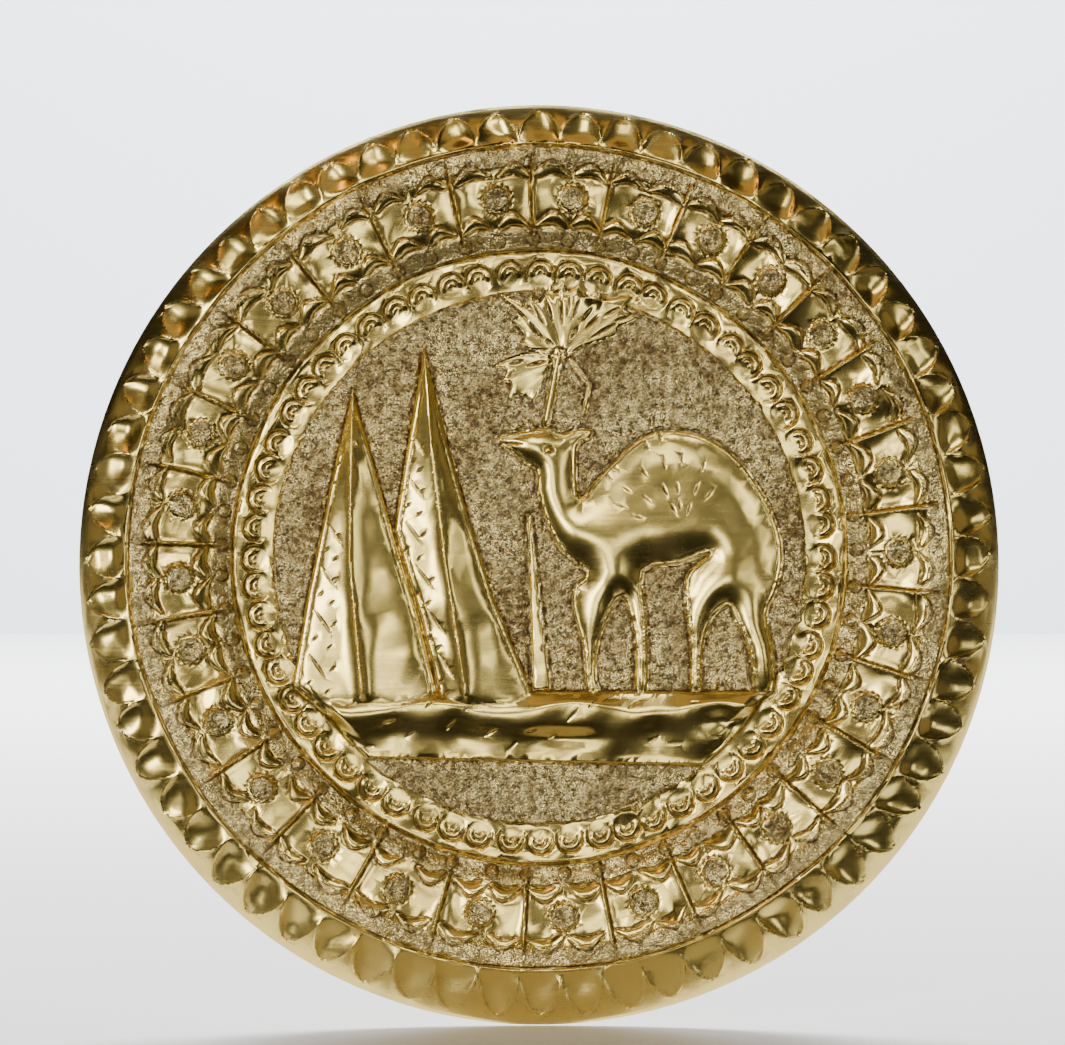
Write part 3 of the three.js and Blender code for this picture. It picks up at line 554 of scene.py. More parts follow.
def pyramid_relief(u, v, outline, ridge, slope, bulge, strokes, fine=1.0):
    """Outline step, plus (1 - e^(-depth/3)) x (bulge + (4.2 - bulge) x e^(-distance/slope)), where
    distance is from the ridge, less the hatching. The lit face, right of the ridge, has a bulge
    and a slope of its own."""
    full = np.zeros(u.shape)
    box = (u > -84) & (u < 4) & (v > -54) & (v < 74)
    u, v = u[box], v[box]
    depth = depth_in(u, v, outline)
    away = line_distance(u, v, ridge)
    up, right = np.array(ridge)[::-1].T[::-1]
    lit = u > np.interp(v, up, right)
    within = 1 - np.exp(-np.maximum(depth, 0) / 3)
    face = np.where(lit, bulge, SHADE_BULGE)
    fall = np.exp(-away / np.where(lit, slope, SHADE_SLOPE))
    height = STEP * smooth(0, STEP_WIDTH, depth)
    height += within * (face + (RIDGE_RISE - face) * fall)
    height += 0.35 * bell(away, 0.45) * smooth(0, 2, depth)
    waves = np.where(lit, 0.7, 0.15) * swell(u * 0.6 - 30, v * 0.6)
    height += waves * smooth(1, 6, depth) * smooth(0, 3, away)
    height -= 0.35 * bell(depth - 2.0, 0.4) * smooth(1, 3, away)
    height -= 0.35 * fine * strokes_cut(u, v, strokes, 0.42)
    full[box] = np.where(depth > 0, height, 0)
    return full


# %% Mound
MOUND_TOP = -43.6
WAVE_LENGTH = 47
# Right, up, half width and half height of each scoop.
SCOOPS = ((-50, -57, 11, 5), (-22, -58, 10, 5), (8, -59, 12, 3), (37, -57, 8, 5), (60, -54, 7, 4))
SCOOP_DEPTH = 2.2
MOUND_STROKES = []
for u in np.linspace(-62, 64, 20):
    v, lean, long = hand.uniform(-63, -46), hand.uniform(-0.1, 0.9), hand.uniform(1.6, 2.6)
    out = np.array([np.cos(lean), np.sin(lean)]) * long
    MOUND_STROKES.append(((u, v) - out, (u, v) + out))


def mound_relief(u, v, fine=1.0):
    """A band with a wavy crest: it rises easily from both sides, and is scooped below the crest."""
    full = np.zeros(u.shape)
    box = v < MOUND_TOP + 1
    u, v = u[box], v[box]
    bottom = -67.3 - 0.022 * u
    ends = FIELD_RADIUS + 1 - np.hypot(u, v)
    depth = np.minimum(np.minimum(MOUND_TOP - v, v - bottom), ends)
    crest = -50 + 2 * np.sin(TURN * u / WAVE_LENGTH)
    above, below = (MOUND_TOP - v) / (MOUND_TOP - crest), (v - bottom) / (crest - bottom)
    share = np.where(v > crest, above, below)
    height = smooth(0, STEP_WIDTH, depth) + 3.2 * smooth(0, 1, share) * smooth(0, 5, ends)
    for middle, level, wide, tall in SCOOPS:
        scoop = np.exp(-(((u - middle) / wide) ** 2) - (((v - level) / tall) ** 2))
        height -= SCOOP_DEPTH * scoop * smooth(0, 3, depth)
    height += 0.7 * swell(u * 0.6 + 90, v * 0.8) * smooth(0, 4, depth)
    height -= 0.35 * fine * strokes_cut(u, v, MOUND_STROKES, 0.42)
    full[box] = np.where(depth > 0, height, 0)
    return full


print("Strokes on the mound:", len(MOUND_STROKES))

# %% Palm
PALM_CROWN = (7.8, 66.5)
PALM_LEAVES = rounded((
    (7, 63.5), (-1, 66.5), (-7, 69.5), (-5, 72.5), (-11.5, 79), (-7.5, 78.5), (-14, 86.5),
    (-6, 84), (-4, 82), (-3.5, 87), (0, 84), (3.5, 89.5), (5.5, 87), (8, 90.5), (9.8, 87.5),
    (13, 89), (14, 85.5), (20.5, 87), (21, 84.5), (31, 85.5), (28, 81), (33, 78), (26.5, 74.5),
    (25, 71.5), (15, 68), (10.5, 64)))
PALM_LOW_LEAVES = rounded((
    (6, 66), (-5, 67), (-16, 62.5), (-11, 60.5), (-14.5, 56.5), (-9.5, 56.5), (-11, 50.5),
    (-5, 52.5), (-2, 50), (1.5, 56), (5, 62)))
PALM_FOOT = ((-4.3, 14), (-2.3, 14), (4.4, -44), (-2.6, -44))
PALM_TRUNKS = (  # ends and half width
    ((6.5, 66), (2.2, 43.5), 2.0), ((10.5, 64), (16.5, 56), 1.3), ((16.5, 56), (14.8, 47.5), 1.2),
)
PALM_CUTS = (
    ((-10, 83), (-3.5, 77)), ((-5, 83.5), (-1, 79)), ((-4, 77), (1.5, 71)),
    ((-9, 77.5), (-5.5, 73)), ((-1.5, 82), (2, 76)), ((2.5, 84), (4.5, 77)),
    ((7, 86), (7.6, 76)), ((10, 84.5), (9.2, 79)), ((13.5, 84), (11, 78)),
    ((17.5, 81.5), (14, 77)), ((13, 75.5), (10.5, 71.5)), ((20, 79.5), (15, 74.5)),
    ((26.5, 81.5), (21, 78.5)), ((25, 76), (17, 71.5)), ((2, 71), (5, 68.8)),
    ((-3, 67.5), (3.5, 67.8)), ((-9.5, 63), (-5, 64.2)), ((-4, 62.5), (2, 64)),
    ((-12, 57.5), (-8, 61)), ((16, 69.5), (10.5, 66.8)), ((30, 78.5), (25, 77)),
    ((9, 66), (8, 56)), ((14, 51), (15.5, 46)),
)
print("Cuts in the palm:", len(PALM_CUTS))


def palm_relief(u, v, fine=1.0):
    """Low leafwork with a soft jagged edge, less lens-shaped cuts between the leaves, and trunks
    that are half-round rods between two grooves."""
    full = np.zeros(u.shape)
    box = (u > -19) & (u < 36) & (v > -46) & (v < 92)
    u, v = u[box], v[box]
    height = np.zeros(u.shape)
    for leaves in (PALM_LEAVES, PALM_LOW_LEAVES):
        height = np.maximum(height, 0.8 * smooth(0, 1.3, depth_in(u, v, leaves)))
    height *= 1 + 0.25 * np.sin(9 * np.arctan2(u - PALM_CROWN[0], v - PALM_CROWN[1] + 2))
    for a, b, half in PALM_TRUNKS:
        away = along_stroke(u, v, a, b)[1]
        height = np.maximum(height, 1.2 * smooth(0, 1, (half - away) / half))
        height -= 0.5 * bell(away - half - 0.35, 0.4)
    foot = depth_in(u, v, PALM_FOOT)
    height = np.maximum(height, 1.1 * smooth(0, 1.5, foot))
    height -= 0.5 * bell(foot + 0.5, 0.45)
    full[box] = height - 0.5 * fine * strokes_cut(u, v, PALM_CUTS, 0.55)
    return full


# %% [markdown]
# ## The whole front as one function
#
# The rim, the border and the middle are each measured only where they lie. The function also
# tells which places are dotted ground, because the finish there is struck with a star-shaped
# punch, holds the old brown wax and gets painted shade in the punch's cuts.

# %% Front
# Radii between which each dotted band sets in and ends.
DOTTED_BANDS = ((126, 127.5, 132.8, 133.4), (100.4, 101, 106, 107.5))
BAND_DOTS = 0.75
BORDER_SWELL, MIDDLE_SWELL = 1.2, 0.45
CRUMPLE = 0.4


def front_relief(u, v, fine=1.0):
    """Height over the flat ground in mm, and how far each place is dotted, 0 to 1. The depth of
    the fine strokes is times fine."""
    radius, angle = np.hypot(u, v), np.arctan2(u, v)
    height, dotted = np.zeros(u.shape), np.zeros(u.shape)
    rim = radius > CREST_RADIUS
    height[rim] = rim_relief(radius[rim], angle[rim])
    border = (radius > RING_RADIUS) & ~rim
    height[border] = border_relief(u[border], v[border], radius[border], angle[border])
    bands = sum(smooth(a, b, radius) * smooth(d, c, radius) for a, b, c, d in DOTTED_BANDS)
    dotted[border] = bands[border] * BAND_DOTS
    middle = radius <= RING_RADIUS
    mu, mv = u[middle], v[middle]
    ring = ring_relief(mu, mv, radius[middle], angle[middle])
    camel, deep = camel_relief(mu, mv, fine)
    forms = np.maximum(camel, mound_relief(mu, mv, fine))
    for pyramid in PYRAMIDS:
        forms = np.maximum(forms, pyramid_relief(mu, mv, *pyramid, fine))
    palm = np.where(forms > 0, 0, palm_relief(mu, mv, fine))
    moat = 0.35 * bell(deep + 0.6, 0.5) * (forms <= 0)
    height[middle] = np.maximum(ring, forms) + palm * (ring < 0.2) - moat
    ground = (forms <= 0) & (palm < 0.3) & (radius[middle] < FIELD_RADIUS + 1)
    dotted[middle] = ground * 1.0
    swelling = np.where(radius > FIELD_RADIUS, BORDER_SWELL, MIDDLE_SWELL)
    swelling *= smooth(149, 140, radius)
    crumple = CRUMPLE * swell(u * 2.4 + 11, v * 2.4) * dotted
    du, dv, _ = from_rosette(u[border], v[border], angle[border])
    dotted[border] = np.maximum(dotted[border], smooth(4.2, 3.4, np.hypot(du, dv)))
    return height + swell(u, v) * swelling + crumple, dotted


sample = np.linspace(0, 150, 601)
front_mm, _ = front_relief(sample, sample * 0)
print("Height along the right-hand radius, lowest and highest in mm:",
      front_mm.min().round(2), front_mm.max().round(2))

# %% [markdown]
# ## From heights to a mesh
#
# A square grid is bent into a disc: each square round the centre becomes a circle, so there is
# no pole where the points crowd. The front gets a dense grid, the back a coarse one, and a strip
# joins their edges. Flat places need fewer points, so a Decimate modifier keeps them where the
# metal bends. It would also drop the shallow chased strokes, so the sheet is built with these
# three times as deep, thinned, and only then set back to its true heights.

# %% Disc grid
CELLS = 800
BACK_CELLS = CELLS // 4


def disc_grid(cells):
    """A square grid as a disc: ring = the larger of |a| and |b|, and the angle runs evenly along
    each side. The outer rings slide from the ornament's centre to the rim's."""
    line = np.linspace(-1, 1, cells + 1)
    a, b = (x.ravel() for x in np.meshgrid(line, line))
    ring = np.maximum(abs(a), abs(b))
    tall = abs(b) >= abs(a)
    ratio = np.where(tall, a, b) / np.where(tall, np.where(b == 0, 1, b), np.where(a == 0, 1, a))
    quarter = np.where(tall, np.where(b < 0, np.pi, 0), np.where(a < 0, -np.pi / 2, np.pi / 2))
    angle = quarter + np.where(tall, 1, -1) * ratio * np.pi / 4
    radius = PLATE_RADIUS * ring + (edge_radius(angle) - PLATE_RADIUS) * ring**8
    return radius * np.sin(angle), radius * np.cos(angle)


def grid_faces(cells, flip):
    """Two triangles for each cell, wound for the front, or turned over for the back."""
    i, j = (x.ravel() for x in np.meshgrid(np.arange(cells), np.arange(cells)))
    low = j * (cells + 1) + i
    a, b, c, d = low, low + 1, low + cells + 2, low + cells + 1
    faces = np.concatenate([np.stack([a, b, c], 1), np.stack([a, c, d], 1)])
    return faces[:, ::-1] if flip else faces


def border_loop(cells):
    """The points of the grid's edge in order, once round."""
    n = cells + 1
    i = np.arange(cells)
    return np.concatenate([i, i * n + cells, cells * n + cells - i, (cells - i) * n])


print("Front grid points:", (CELLS + 1) ** 2)

# %% Back
BACK_SMOOTH = 2.2
BACK_SINK = 0.3
BACK_SPARE = 0.35
LEAST_SHEET = 0.45


def back_relief(u, v):
    """The big forms from behind: the mean of the front at eight places round each point, less
    0.3 mm, at most 0.35 mm over the lowest of the eight, and 0.45 mm or more from the front, so
    that the sheet stays whole."""
    total = np.zeros(u.shape)
    least = np.full(u.shape, 1e9)
    for turn in np.arange(8) * TURN / 8:
        at_u, at_v = u + BACK_SMOOTH * np.cos(turn), v + BACK_SMOOTH * np.sin(turn)
        reach = np.minimum(1, (edge_radius(np.arctan2(at_u, at_v)) - 0.01) / np.hypot(at_u, at_v))
        height = front_relief(at_u * reach, at_v * reach)[0]
        total += height / 8
        least = np.minimum(least, height)
    here = front_relief(u, v)[0]
    under = np.minimum(total - BACK_SINK, least + BACK_SPARE)
    return np.maximum(0, np.minimum(under, here + SHEET - LEAST_SHEET))


print("Back over the centre in mm:", back_relief(np.zeros(1), np.zeros(1))[0].round(2))

# %% Closed sheet
DEEPER = 3.0
FRONT_TOP = 11.25  # the CAD box is 11.3 mm deep
BACK_TOP = 10.4


def build_sheet(cells, back_cells):
    """Front and back grids and the strip between their edges: points in mm and triangles."""
    fu, fv = disc_grid(cells)
    bu, bv = disc_grid(back_cells)
    top = np.minimum(front_relief(fu, fv, DEEPER)[0] + SHEET, FRONT_TOP)
    under = np.minimum(back_relief(bu, bv), BACK_TOP)
    points = np.concatenate([
        np.stack([fu, -top, fv + ORNAMENT_RISE], 1),
        np.stack([bu, -under, bv + ORNAMENT_RISE], 1),
    ])
    shift = len(fu)
    rim_f, rim_b = border_loop(cells), border_loop(back_cells) + shift
    times = cells // back_cells
    f = np.stack([np.roll(rim_f, -k)[::times] for k in range(times + 1)], 1)
    b, b_next = rim_b, np.roll(rim_b, -1)
    half = times // 2
    strip = [np.stack([f[:, k], b, f[:, k + 1]], 1) for k in range(half)]
    strip.append(np.stack([f[:, half], b, b_next], 1))
    strip += [np.stack([f[:, k], b_next, f[:, k + 1]], 1) for k in range(half, times)]
    faces = np.concatenate([grid_faces(cells, False), grid_faces(back_cells, True) + shift, *strip])
    return points, faces


def new_mesh(name, points, faces):
    """Fills a mesh from whole arrays: no loop over its points."""
    mesh = bpy.data.meshes.new(name)
    mesh.vertices.add(len(points))
    mesh.vertices.foreach_set("co", (points * MM).astype(np.float32).ravel())
    mesh.loops.add(faces.size)
    mesh.loops.foreach_set("vertex_index", faces.astype(np.int32).ravel())
    mesh.polygons.add(len(faces))
    mesh.polygons.foreach_set("loop_start", np.arange(0, faces.size, 3, dtype=np.int32))
    mesh.update(calc_edges=True)
    mesh.validate()
    return mesh


points, faces = build_sheet(CELLS, BACK_CELLS)
plate = bpy.data.objects.new("embossed_sheet", new_mesh("embossed_sheet", points, faces))
scene.collection.objects.link(plate)
print("Dense sheet:", len(points), "points,", len(faces), "triangles")

# %% Thinning
KEPT_TRIANGLES = 194000
thin = plate.modifiers.new("Thin", "DECIMATE")
thin.ratio = KEPT_TRIANGLES / len(faces)
bpy.context.view_layer.update()
graph = bpy.context.evaluated_depsgraph_get()
thinned = bpy.data.meshes.new_from_object(plate.evaluated_get(graph))
plate.modifiers.clear()
dense = plate.data
plate.data = thinned
bpy.data.meshes.remove(dense)
plate.data.name = "embossed_sheet"
print("Thinned sheet:", len(plate.data.polygons), "triangles")

# %% [markdown]
# ## Smooth light on the thinned sheet
#
# The light on a mesh follows its normals. The best ones are not the averages of the thinned
# triangles but the slopes of the height function, so they are measured there and stored on the
# corners. Three more measures go with the points, for the finish to read: how hollow each place
# is, whether it is dotted ground, and whether it is on the front.

# %% True heights
FRONT_MARGIN = 0.22
mesh = plate.data
count = len(mesh.vertices)
co = np.empty(count * 3, np.float32)
mesh.vertices.foreach_get("co", co)
co = co.reshape(-1, 3).astype(float) / MM
pu, pv = co[:, 0], co[:, 2] - ORNAMENT_RISE
limit = edge_radius(np.arctan2(pu, pv)) - 0.02
shrink = np.minimum(1, limit / np.maximum(np.hypot(pu, pv), 1e-9))
pu, pv = pu * shrink, pv * shrink
deeper = front_relief(pu, pv, DEEPER)[0]
here, dotted = front_relief(pu, pv)
is_front = -co[:, 1] > deeper + SHEET - FRONT_MARGIN
co[is_front, 1] = -np.minimum(here[is_front] + SHEET, FRONT_TOP)
# Nothing reaches past the CAD's box: its back plane and its edge.
co[:, 1] = np.minimum(co[:, 1], 0)
reach = np.hypot(co[:, 0], co[:, 2])
co[:, [0, 2]] *= np.minimum(1, PLATE_RADIUS / reach)[:, None]
mesh.vertices.foreach_set("co", (co * MM).astype(np.float32).ravel())
print("Points on the front:", int(is_front.sum()), "of", count)


# %% Normals
def slope(u, v, reach=0.16):
    """Rise of the front per mm to the right and per mm upwards, from four places round each."""
    right = front_relief(u + reach, v)[0] - front_relief(u - reach, v)[0]
    up = front_relief(u, v + reach)[0] - front_relief(u, v - reach)[0]
    return right / (2 * reach), up / (2 * reach)


rise_u, rise_v = slope(pu, pv)
normal = np.stack([-rise_u, -np.ones(count), -rise_v], 1)
normal /= np.linalg.norm(normal, axis=1)[:, None]

loops = np.empty(len(mesh.loops), np.int32)
mesh.loops.foreach_get("vertex_index", loops)
corners = loops.reshape(-1, 3)
face_front = is_front[corners].all(axis=1)
corner_normal = np.empty(len(loops) * 3, np.float32)
mesh.polygons.foreach_set("use_smooth", np.ones(len(mesh.polygons), bool))
mesh.update()
mesh.corner_normals.foreach_get("vector", corner_normal)
corner_normal = corner_normal.reshape(-1, 3)
on_front = np.repeat(face_front, 3)
corner_normal[on_front] = normal[loops[on_front]]
mesh.normals_split_custom_set(corner_normal)
print("Front triangles with measured normals:", int(face_front.sum()), "of", len(face_front))


# %% Hollows and dots
def hollow(u, v, reach):
    """Mean height on a circle round each place, less its own: positive in hollows."""
    total = np.zeros(u.shape)
    for turn in np.arange(6) * TURN / 6:
        total += front_relief(u + reach * np.cos(turn), v + reach * np.sin(turn))[0]
    return total / 6 - front_relief(u, v)[0]


cavity = np.where(is_front, np.maximum(hollow(pu, pv, 1.3), 3.5 * hollow(pu, pv, 0.6)), 0)
for name, values in (("cavity", cavity), ("dotted", dotted * is_front), ("front", is_front * 1.0)):
    layer = mesh.attributes.new(name, "FLOAT", "POINT")
    layer.data.foreach_set("value", values.astype(np.float32))
print("Hollows from", cavity.min().round(2), "to", cavity.max().round(2), "mm")

# %% [markdown]
# ## Finish
#
# The metal is a yellow brass. Polish has kept the high places bright, while old wax and tarnish
# stay in the hollows and in the dotted ground, whose punched cuts also get painted shade. Each of
# these effects is a node group with named sockets, so that it could serve another plate as well.


# %% Node helpers
def group(name, inputs, outputs):
    """A new node group with named sockets, and its two end nodes."""
    tree = bpy.data.node_groups.new(name, "ShaderNodeTree")
    for label, kind, value in inputs:
        socket = tree.interface.new_socket(label, in_out="INPUT", socket_type="NodeSocket" + kind)
        if value is not None:
            socket.default_value = value
    for label, kind in outputs:
        tree.interface.new_socket(label, in_out="OUTPUT", socket_type="NodeSocket" + kind)
    return tree, tree.nodes.new("NodeGroupInput"), tree.nodes.new("NodeGroupOutput")


def add(tree, kind, links=None, **settings):
    """A node with its settings, and its sockets set to a value or linked to another socket."""
    node = tree.nodes.new("ShaderNode" + kind)
    for key, value in settings.items():
        setattr(node, key, value)
    for key, value in (links or {}).items():
        if isinstance(value, bpy.types.NodeSocket):
            tree.links.new(value, node.inputs[key])
        else:
            node.inputs[key].default_value = value
    return node


def maths(tree, operation, a, b=0.0, clamp=False):
    """One sum on two values."""
    return add(tree, "Math", {0: a, 1: b}, operation=operation, use_clamp=clamp).outputs[0]


def times(tree, a, b):
    """Product of two values."""
    return maths(tree, "MULTIPLY", a, b)


def weighed(tree, a, share_a, b, share_b):
    """Sum of two values, each times its share."""
    return maths(tree, "ADD", times(tree, a, share_a), times(tree, b, share_b))


def ramp(tree, value, start, stop):
    """Easy step from 0 to 1 between two values."""
    node = add(tree, "MapRange", {"Value": value, "From Min": start, "From Max": stop},
               interpolation_type="SMOOTHSTEP")
    return node.outputs["Result"]


def noise(tree, place, scale, detail, roughness=0.5):
    """Cloudy noise, 0 to 1."""
    return add(tree, "TexNoise", {"Vector": place, "Scale": scale, "Detail": detail,
                                  "Roughness": roughness}).outputs[0]


def mix(tree, share, a, b):
    """Two colours mixed by a share."""
    node = add(tree, "Mix", {0: share, 6: a, 7: b}, data_type="RGBA")
    return node.outputs[2]


# %% [markdown]
# ### Star punch
#
# The ground between the figures is struck all over with a small star-shaped punch, about three
# millimetres across. A Voronoi pattern scatters the middles of the stars, and the size of the
# sine of four times the angle round each middle gives eight rays. Two noises, a broad and a
# sharp one, stand for the older strokes under them. The mask marks the rays and the places where
# these noises are low, for a brown that is partly wax and partly painted shade in the cuts.

# %% Star punch group
RAYS = 8
star, star_in, star_out = group(
    "Star punch",
    [("Place", "Vector", None), ("Per metre", "Float", 280.0)],
    [("Height", "Float"), ("Mask", "Float")],
)
per_metre = star_in.outputs["Per metre"]
parts = add(star, "SeparateXYZ", {0: star_in.outputs["Place"]}).outputs
flat = add(star, "CombineXYZ", {0: parts[0], 1: parts[2]}).outputs[0]
cells = add(star, "TexVoronoi", {"Vector": flat, "Scale": per_metre, "Randomness": 0.85},
            voronoi_dimensions="2D")
scaled, centre = (
    add(star, "VectorMath", {0: where, "Scale": per_metre}, operation="SCALE").outputs[0]
    for where in (flat, cells.outputs["Position"])
)
away = add(star, "VectorMath", {0: scaled, 1: centre}, operation="SUBTRACT").outputs[0]
xyz = add(star, "SeparateXYZ", {0: away}).outputs
turn = maths(star, "ARCTAN2", xyz[1], xyz[0])
tint = add(star, "SeparateXYZ", {0: cells.outputs["Color"]}).outputs[0]
spin = weighed(star, turn, RAYS / 2, tint, 6.28)
far = cells.outputs["Distance"]
off = times(star, maths(star, "ABSOLUTE", maths(star, "SINE", spin)), far)
rays = times(star, ramp(star, off, 0.15, 0.04), ramp(star, far, 0.56, 0.4))
broad = noise(star, scaled, 1.2, 2.0)
sharp = noise(star, scaled, 4.2, 2.0)
height = maths(star, "SUBTRACT", weighed(star, broad, 2.2, sharp, 1.5), times(star, rays, 0.7))
low = ramp(star, weighed(star, broad, 0.5, sharp, 0.5), 0.48, 0.40)
ray = maths(star, "MAXIMUM", times(star, rays, 0.75), low)
star.links.new(height, star_out.inputs["Height"])
star.links.new(ray, star_out.inputs["Mask"])
print("Nodes in the star punch:", len(star.nodes))

# %% [markdown]
# ### Tarnish
#
# Tarnish gathers where a cloth can't reach. The group breaks up the hollows with cloudy noise,
# and gives one mask from bright to brown.

# %% Tarnish group
tarnish, tarnish_in, tarnish_out = group(
    "Tarnish",
    [("Place", "Vector", None), ("Hollow", "Float", 0.0),
     ("Dotted", "Float", 0.0), ("Amount", "Float", 0.5)],
    [("Mask", "Float"), ("Clouds", "Float")],
)
clouds = noise(tarnish, tarnish_in.outputs["Place"], 38.0, 6.0, 0.6)
specks = noise(tarnish, tarnish_in.outputs["Place"], 620.0, 3.0)
deep = ramp(tarnish, tarnish_in.outputs["Hollow"], 0.1, 0.6)
ground = times(tarnish, tarnish_in.outputs["Dotted"], ramp(tarnish, clouds, 0.35, 0.75))
both = maths(tarnish, "MAXIMUM", deep, ground)
broken = times(tarnish, both, ramp(tarnish, clouds, 0.15, 0.5))
fine = times(tarnish, broken, ramp(tarnish, specks, 0.25, 0.55))
sheen = times(tarnish, ramp(tarnish, clouds, 0.5, 0.72), tarnish_in.outputs["Amount"])
tarnish.links.new(maths(tarnish, "MAXIMUM", fine, sheen, clamp=True), tarnish_out.inputs["Mask"])
tarnish.links.new(clouds, tarnish_out.inputs["Clouds"])
print("Nodes in the tarnish:", len(tarnish.nodes))

# %% [markdown]
# ### Rubbing
#
# Polishing leaves hair-fine scratches that run every way. Two stretched noises, crossed, give
# the bump and a slight change of gloss.

# %% Rubbing group
rub, rub_in, rub_out = group(
    "Rubbing", [("Place", "Vector", None)],
    [("Height", "Float"), ("Gloss", "Float")],
)
lines = []
for lean in (0.5, -0.9):
    way = add(rub, "Mapping", {"Vector": rub_in.outputs["Place"], "Rotation": (0, lean, 0),
                               "Scale": (60, 60, 1400)})
    lines.append(noise(rub, way.outputs[0], 1.0, 3.0))
fine = maths(rub, "ADD", lines[0], lines[1])
rub.links.new(fine, rub_out.inputs["Height"])
rub.links.new(times(rub, fine, 0.5), rub_out.inputs["Gloss"])
print("Nodes in the rubbing:", len(rub.nodes))

# %% Patinated brass
OLIVE_GOLD, PALE_GOLD = (0.71, 0.53, 0.14, 1), (0.83, 0.67, 0.23, 1)
STRUCK_GOLD = (0.96, 0.84, 0.46, 1)
# The darker brown is partly wax and partly painted shade, for the cuts of the star punch.
OLD_WAX, WAX_AND_SHADE_BROWN = (0.17, 0.095, 0.03, 1), (0.13, 0.085, 0.055, 1)
BARE_BACK = (0.36, 0.25, 0.11, 1)
brass = bpy.data.materials.new("patinated_brass")
brass.use_nodes = True
tree = brass.node_tree
tree.nodes.clear()
output = tree.nodes.new("ShaderNodeOutputMaterial")
place = add(tree, "TexCoord").outputs["Object"]
hollow_here, dotted_here, front_here = (
    add(tree, "Attribute", attribute_name=name).outputs["Fac"]
    for name in ("cavity", "dotted", "front")
)
stars = add(tree, "Group", {"Place": place, "Per metre": 280.0}, node_tree=star).outputs
brown = add(tree, "Group", {"Place": place, "Hollow": hollow_here, "Dotted": dotted_here,
                            "Amount": 0.3}, node_tree=tarnish).outputs
hairs = add(tree, "Group", {"Place": place}, node_tree=rub).outputs
# Painted shade with wax: the rays and low spots of the punched ground turn dark brown.
struck = times(tree, stars["Mask"], dotted_here)
polished = mix(tree, brown["Clouds"], OLIVE_GOLD, PALE_GOLD)
polished = mix(tree, times(tree, dotted_here, 0.6), polished, STRUCK_GOLD)
waxed = mix(tree, brown["Mask"], polished, OLD_WAX)
shaded = mix(tree, times(tree, struck, 0.85), waxed, WAX_AND_SHADE_BROWN)
behind = mix(tree, front_here, BARE_BACK, shaded)
rough = weighed(tree, brown["Mask"], 0.22, hairs["Gloss"], 0.14)
rough = maths(tree, "ADD", rough, 0.17)
cut = add(tree, "Bump", {"Height": times(tree, stars["Height"], dotted_here),
                         "Distance": 0.00055, "Strength": 1.0}).outputs[0]
scratched = add(tree, "Bump", {"Height": hairs["Height"], "Distance": 0.00001, "Strength": 0.6,
                               "Normal": cut}).outputs[0]
shader = add(tree, "BsdfPrincipled", {"Base Color": behind, "Roughness": rough, "Metallic": 1.0,
                                      "Normal": scratched})
tree.links.new(shader.outputs[0], output.inputs["Surface"])
plate.data.materials.clear()
plate.data.materials.append(brass)
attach(plate, "root")
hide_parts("plate")
print("Nodes in the finish:", len(tree.nodes))

# %% [markdown]
# ## Stage, light and camera
#
# The plate stands upright on a pale floor, far in front of a pale wall. Polished metal looks
# like what it mirrors, so each light is set for the slopes that should catch it: the front light
# for flat places, the left and right lights for slopes to the sides, and the key light for
# slopes that face up. The dark gaps between them darken all other slopes. Weak warm lights give
# the rim its brown and orange. The floor ends just in front of the plate, so that slopes facing
# down mirror the dark, and the world is almost black in mirrors and grey only to the camera.


# %% Stage
def plain_sheet(name, near, far, colour, roughness):
    """A flat sheet 8 m wide between two edges, each given by its y and z in metres."""
    corners = [(-4, *near), (4, *near), (4, *far), (-4, *far)]
    mesh = bpy.data.meshes.new(name)
    mesh.from_pydata(corners, [], [(0, 1, 2, 3)])
    obj = bpy.data.objects.new(name, mesh)
    scene.collection.objects.link(obj)
    paint = bpy.data.materials.new(name)
    paint.use_nodes = True
    shader = paint.node_tree.nodes["Principled BSDF"]
    shader.inputs["Base Color"].default_value = colour
    shader.inputs["Roughness"].default_value = roughness
    mesh.materials.append(paint)


FLOOR_Z = -0.1503
WALL_Y = 4.2
SHELF_Y = -0.06
WALL_TOP = 3
FLOOR_WHITE, WALL_WHITE = (0.74, 0.74, 0.75, 1), (0.70, 0.74, 0.80, 1)
plain_sheet("floor", (SHELF_Y, FLOOR_Z), (WALL_Y, FLOOR_Z), FLOOR_WHITE, 0.6)
plain_sheet("wall", (WALL_Y, FLOOR_Z), (WALL_Y, WALL_TOP), WALL_WHITE, 0.8)
print("Floor at", FLOOR_Z, "m, wall at", WALL_Y, "m")


# %% Lights
def soft_light(name, place, size, power, colour, aim=(0, 0, 0)):
    """A flat soft light at a place, turned towards the plate or another aim."""
    data = bpy.data.lights.new(name, "AREA")
    data.shape = "RECTANGLE"
    data.size, data.size_y = size
    data.energy = power
    data.color = colour
    obj = bpy.data.objects.new(name, data)
    obj.location = place
    obj.rotation_euler = (Vector(aim) - Vector(place)).to_track_quat("-Z", "Y").to_euler()
    scene.collection.objects.link(obj)


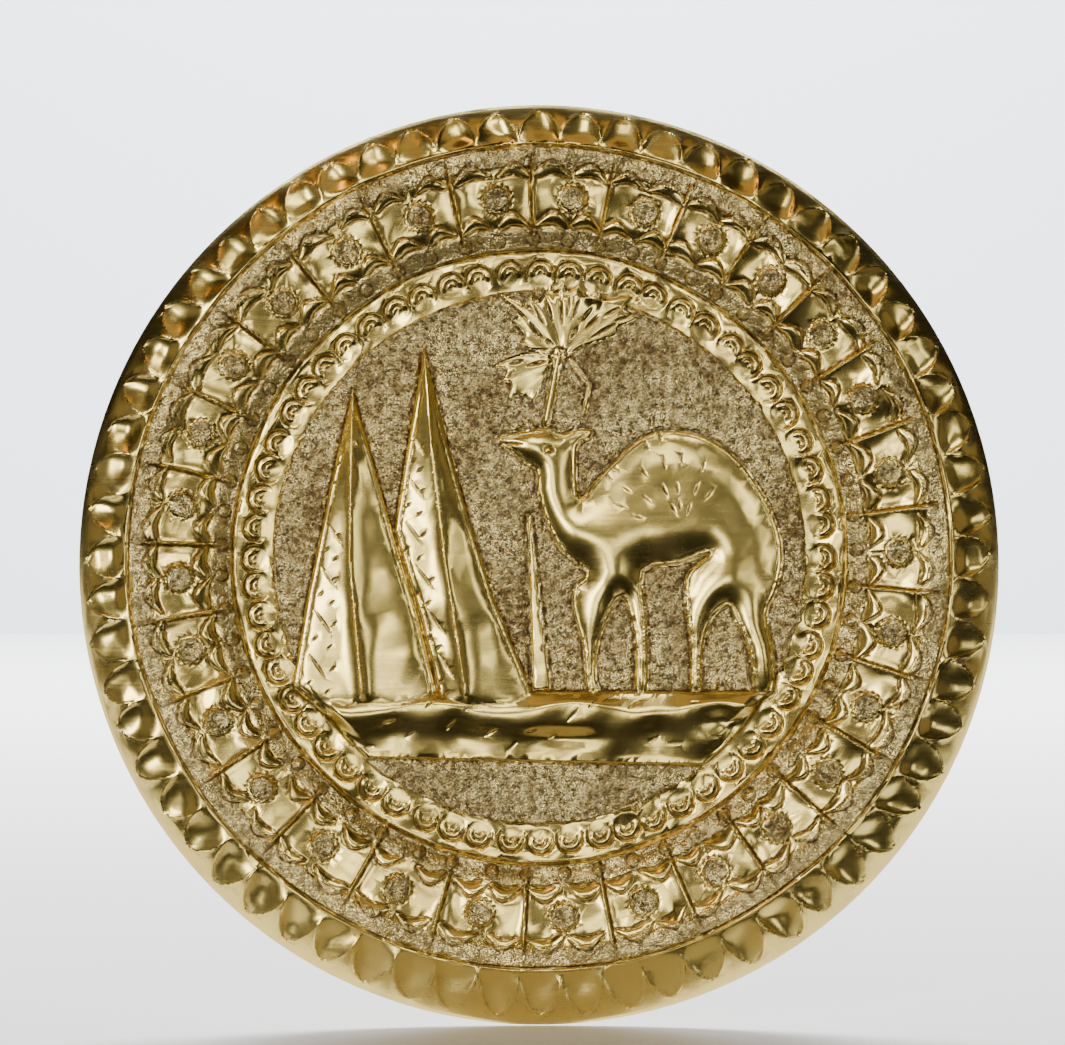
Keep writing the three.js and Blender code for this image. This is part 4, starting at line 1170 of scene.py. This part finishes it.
LIGHTS = (  # name, place in metres, width and height, power in watts, colour
    ("left_light", (-0.8, -1.5, 0.15), (0.35, 0.8), 15.0, (1.0, 0.97, 0.90)),
    ("right_light", (0.95, -1.4, 0.1), (0.25, 0.6), 2.0, (1.0, 0.97, 0.88)),
    ("key_light", (0.05, -1.5, 1.0), (0.9, 0.28), 8.0, (1.0, 0.94, 0.80)),
    ("front_light", (-0.1, -1.9, -0.12), (0.65, 0.5), 5.0, (1.0, 0.97, 0.88)),
    ("top_light", (0.0, -0.55, 1.2), (1.2, 0.5), 1.0, (1.0, 0.66, 0.28)),
    ("warm_light", (-0.5, -0.35, 0.9), (0.25, 0.2), 0.8, (1.0, 0.50, 0.10)),
    ("west_light", (-1.2, -0.45, 0.1), (0.5, 1.0), 0.4, (1.0, 0.80, 0.50)),
    ("east_light", (1.2, -0.45, 0.1), (0.5, 1.0), 0.4, (1.0, 0.80, 0.50)),
    ("wall_light", (0, 2.2, 2.6), (3.5, 2.0), 600, (1.0, 1.0, 1.0), (0, 3.2, -0.15)),
)
for light in LIGHTS:
    soft_light(*light)
print("Lights:", len(LIGHTS))

# %% World
SEEN, MIRRORED = 0.7, 0.015  # strength
world = bpy.data.worlds.new("studio")
world.use_nodes = True
background = world.node_tree.nodes["Background"]
background.inputs["Color"].default_value = (0.82, 0.78, 0.72, 1)
seen = add(world.node_tree, "LightPath").outputs["Is Camera Ray"]
strength = add(world.node_tree, "Math", {0: seen, 1: SEEN, 2: MIRRORED}, operation="MULTIPLY_ADD")
world.node_tree.links.new(strength.outputs[0], background.inputs["Strength"])
scene.world = world
print("World:", world.name)

# %% Camera
IMAGE = (1065, 1045)
MM_PER_PIXEL = 0.3257
RIM_CENTRE = (539, 565)  # in the image, in pixels
DISTANCE = 1.2
RIM_PLANE = 0.005  # how far the relief stands in front of the origin, on average
SENSOR = 36
lens_data = bpy.data.cameras.new("camera")
lens_data.sensor_width = SENSOR
lens_data.lens = SENSOR * (DISTANCE - RIM_PLANE) / (IMAGE[0] * MM_PER_PIXEL * MM)
camera = bpy.data.objects.new("camera", lens_data)
camera.location = (
    (IMAGE[0] / 2 - RIM_CENTRE[0]) * MM_PER_PIXEL * MM, -DISTANCE,
    (RIM_CENTRE[1] - IMAGE[1] / 2) * MM_PER_PIXEL * MM,
)
camera.rotation_euler = (np.pi / 2, 0, 0)
scene.collection.objects.link(camera)
scene.camera = camera
print("Lens in mm:", round(lens_data.lens, 1))
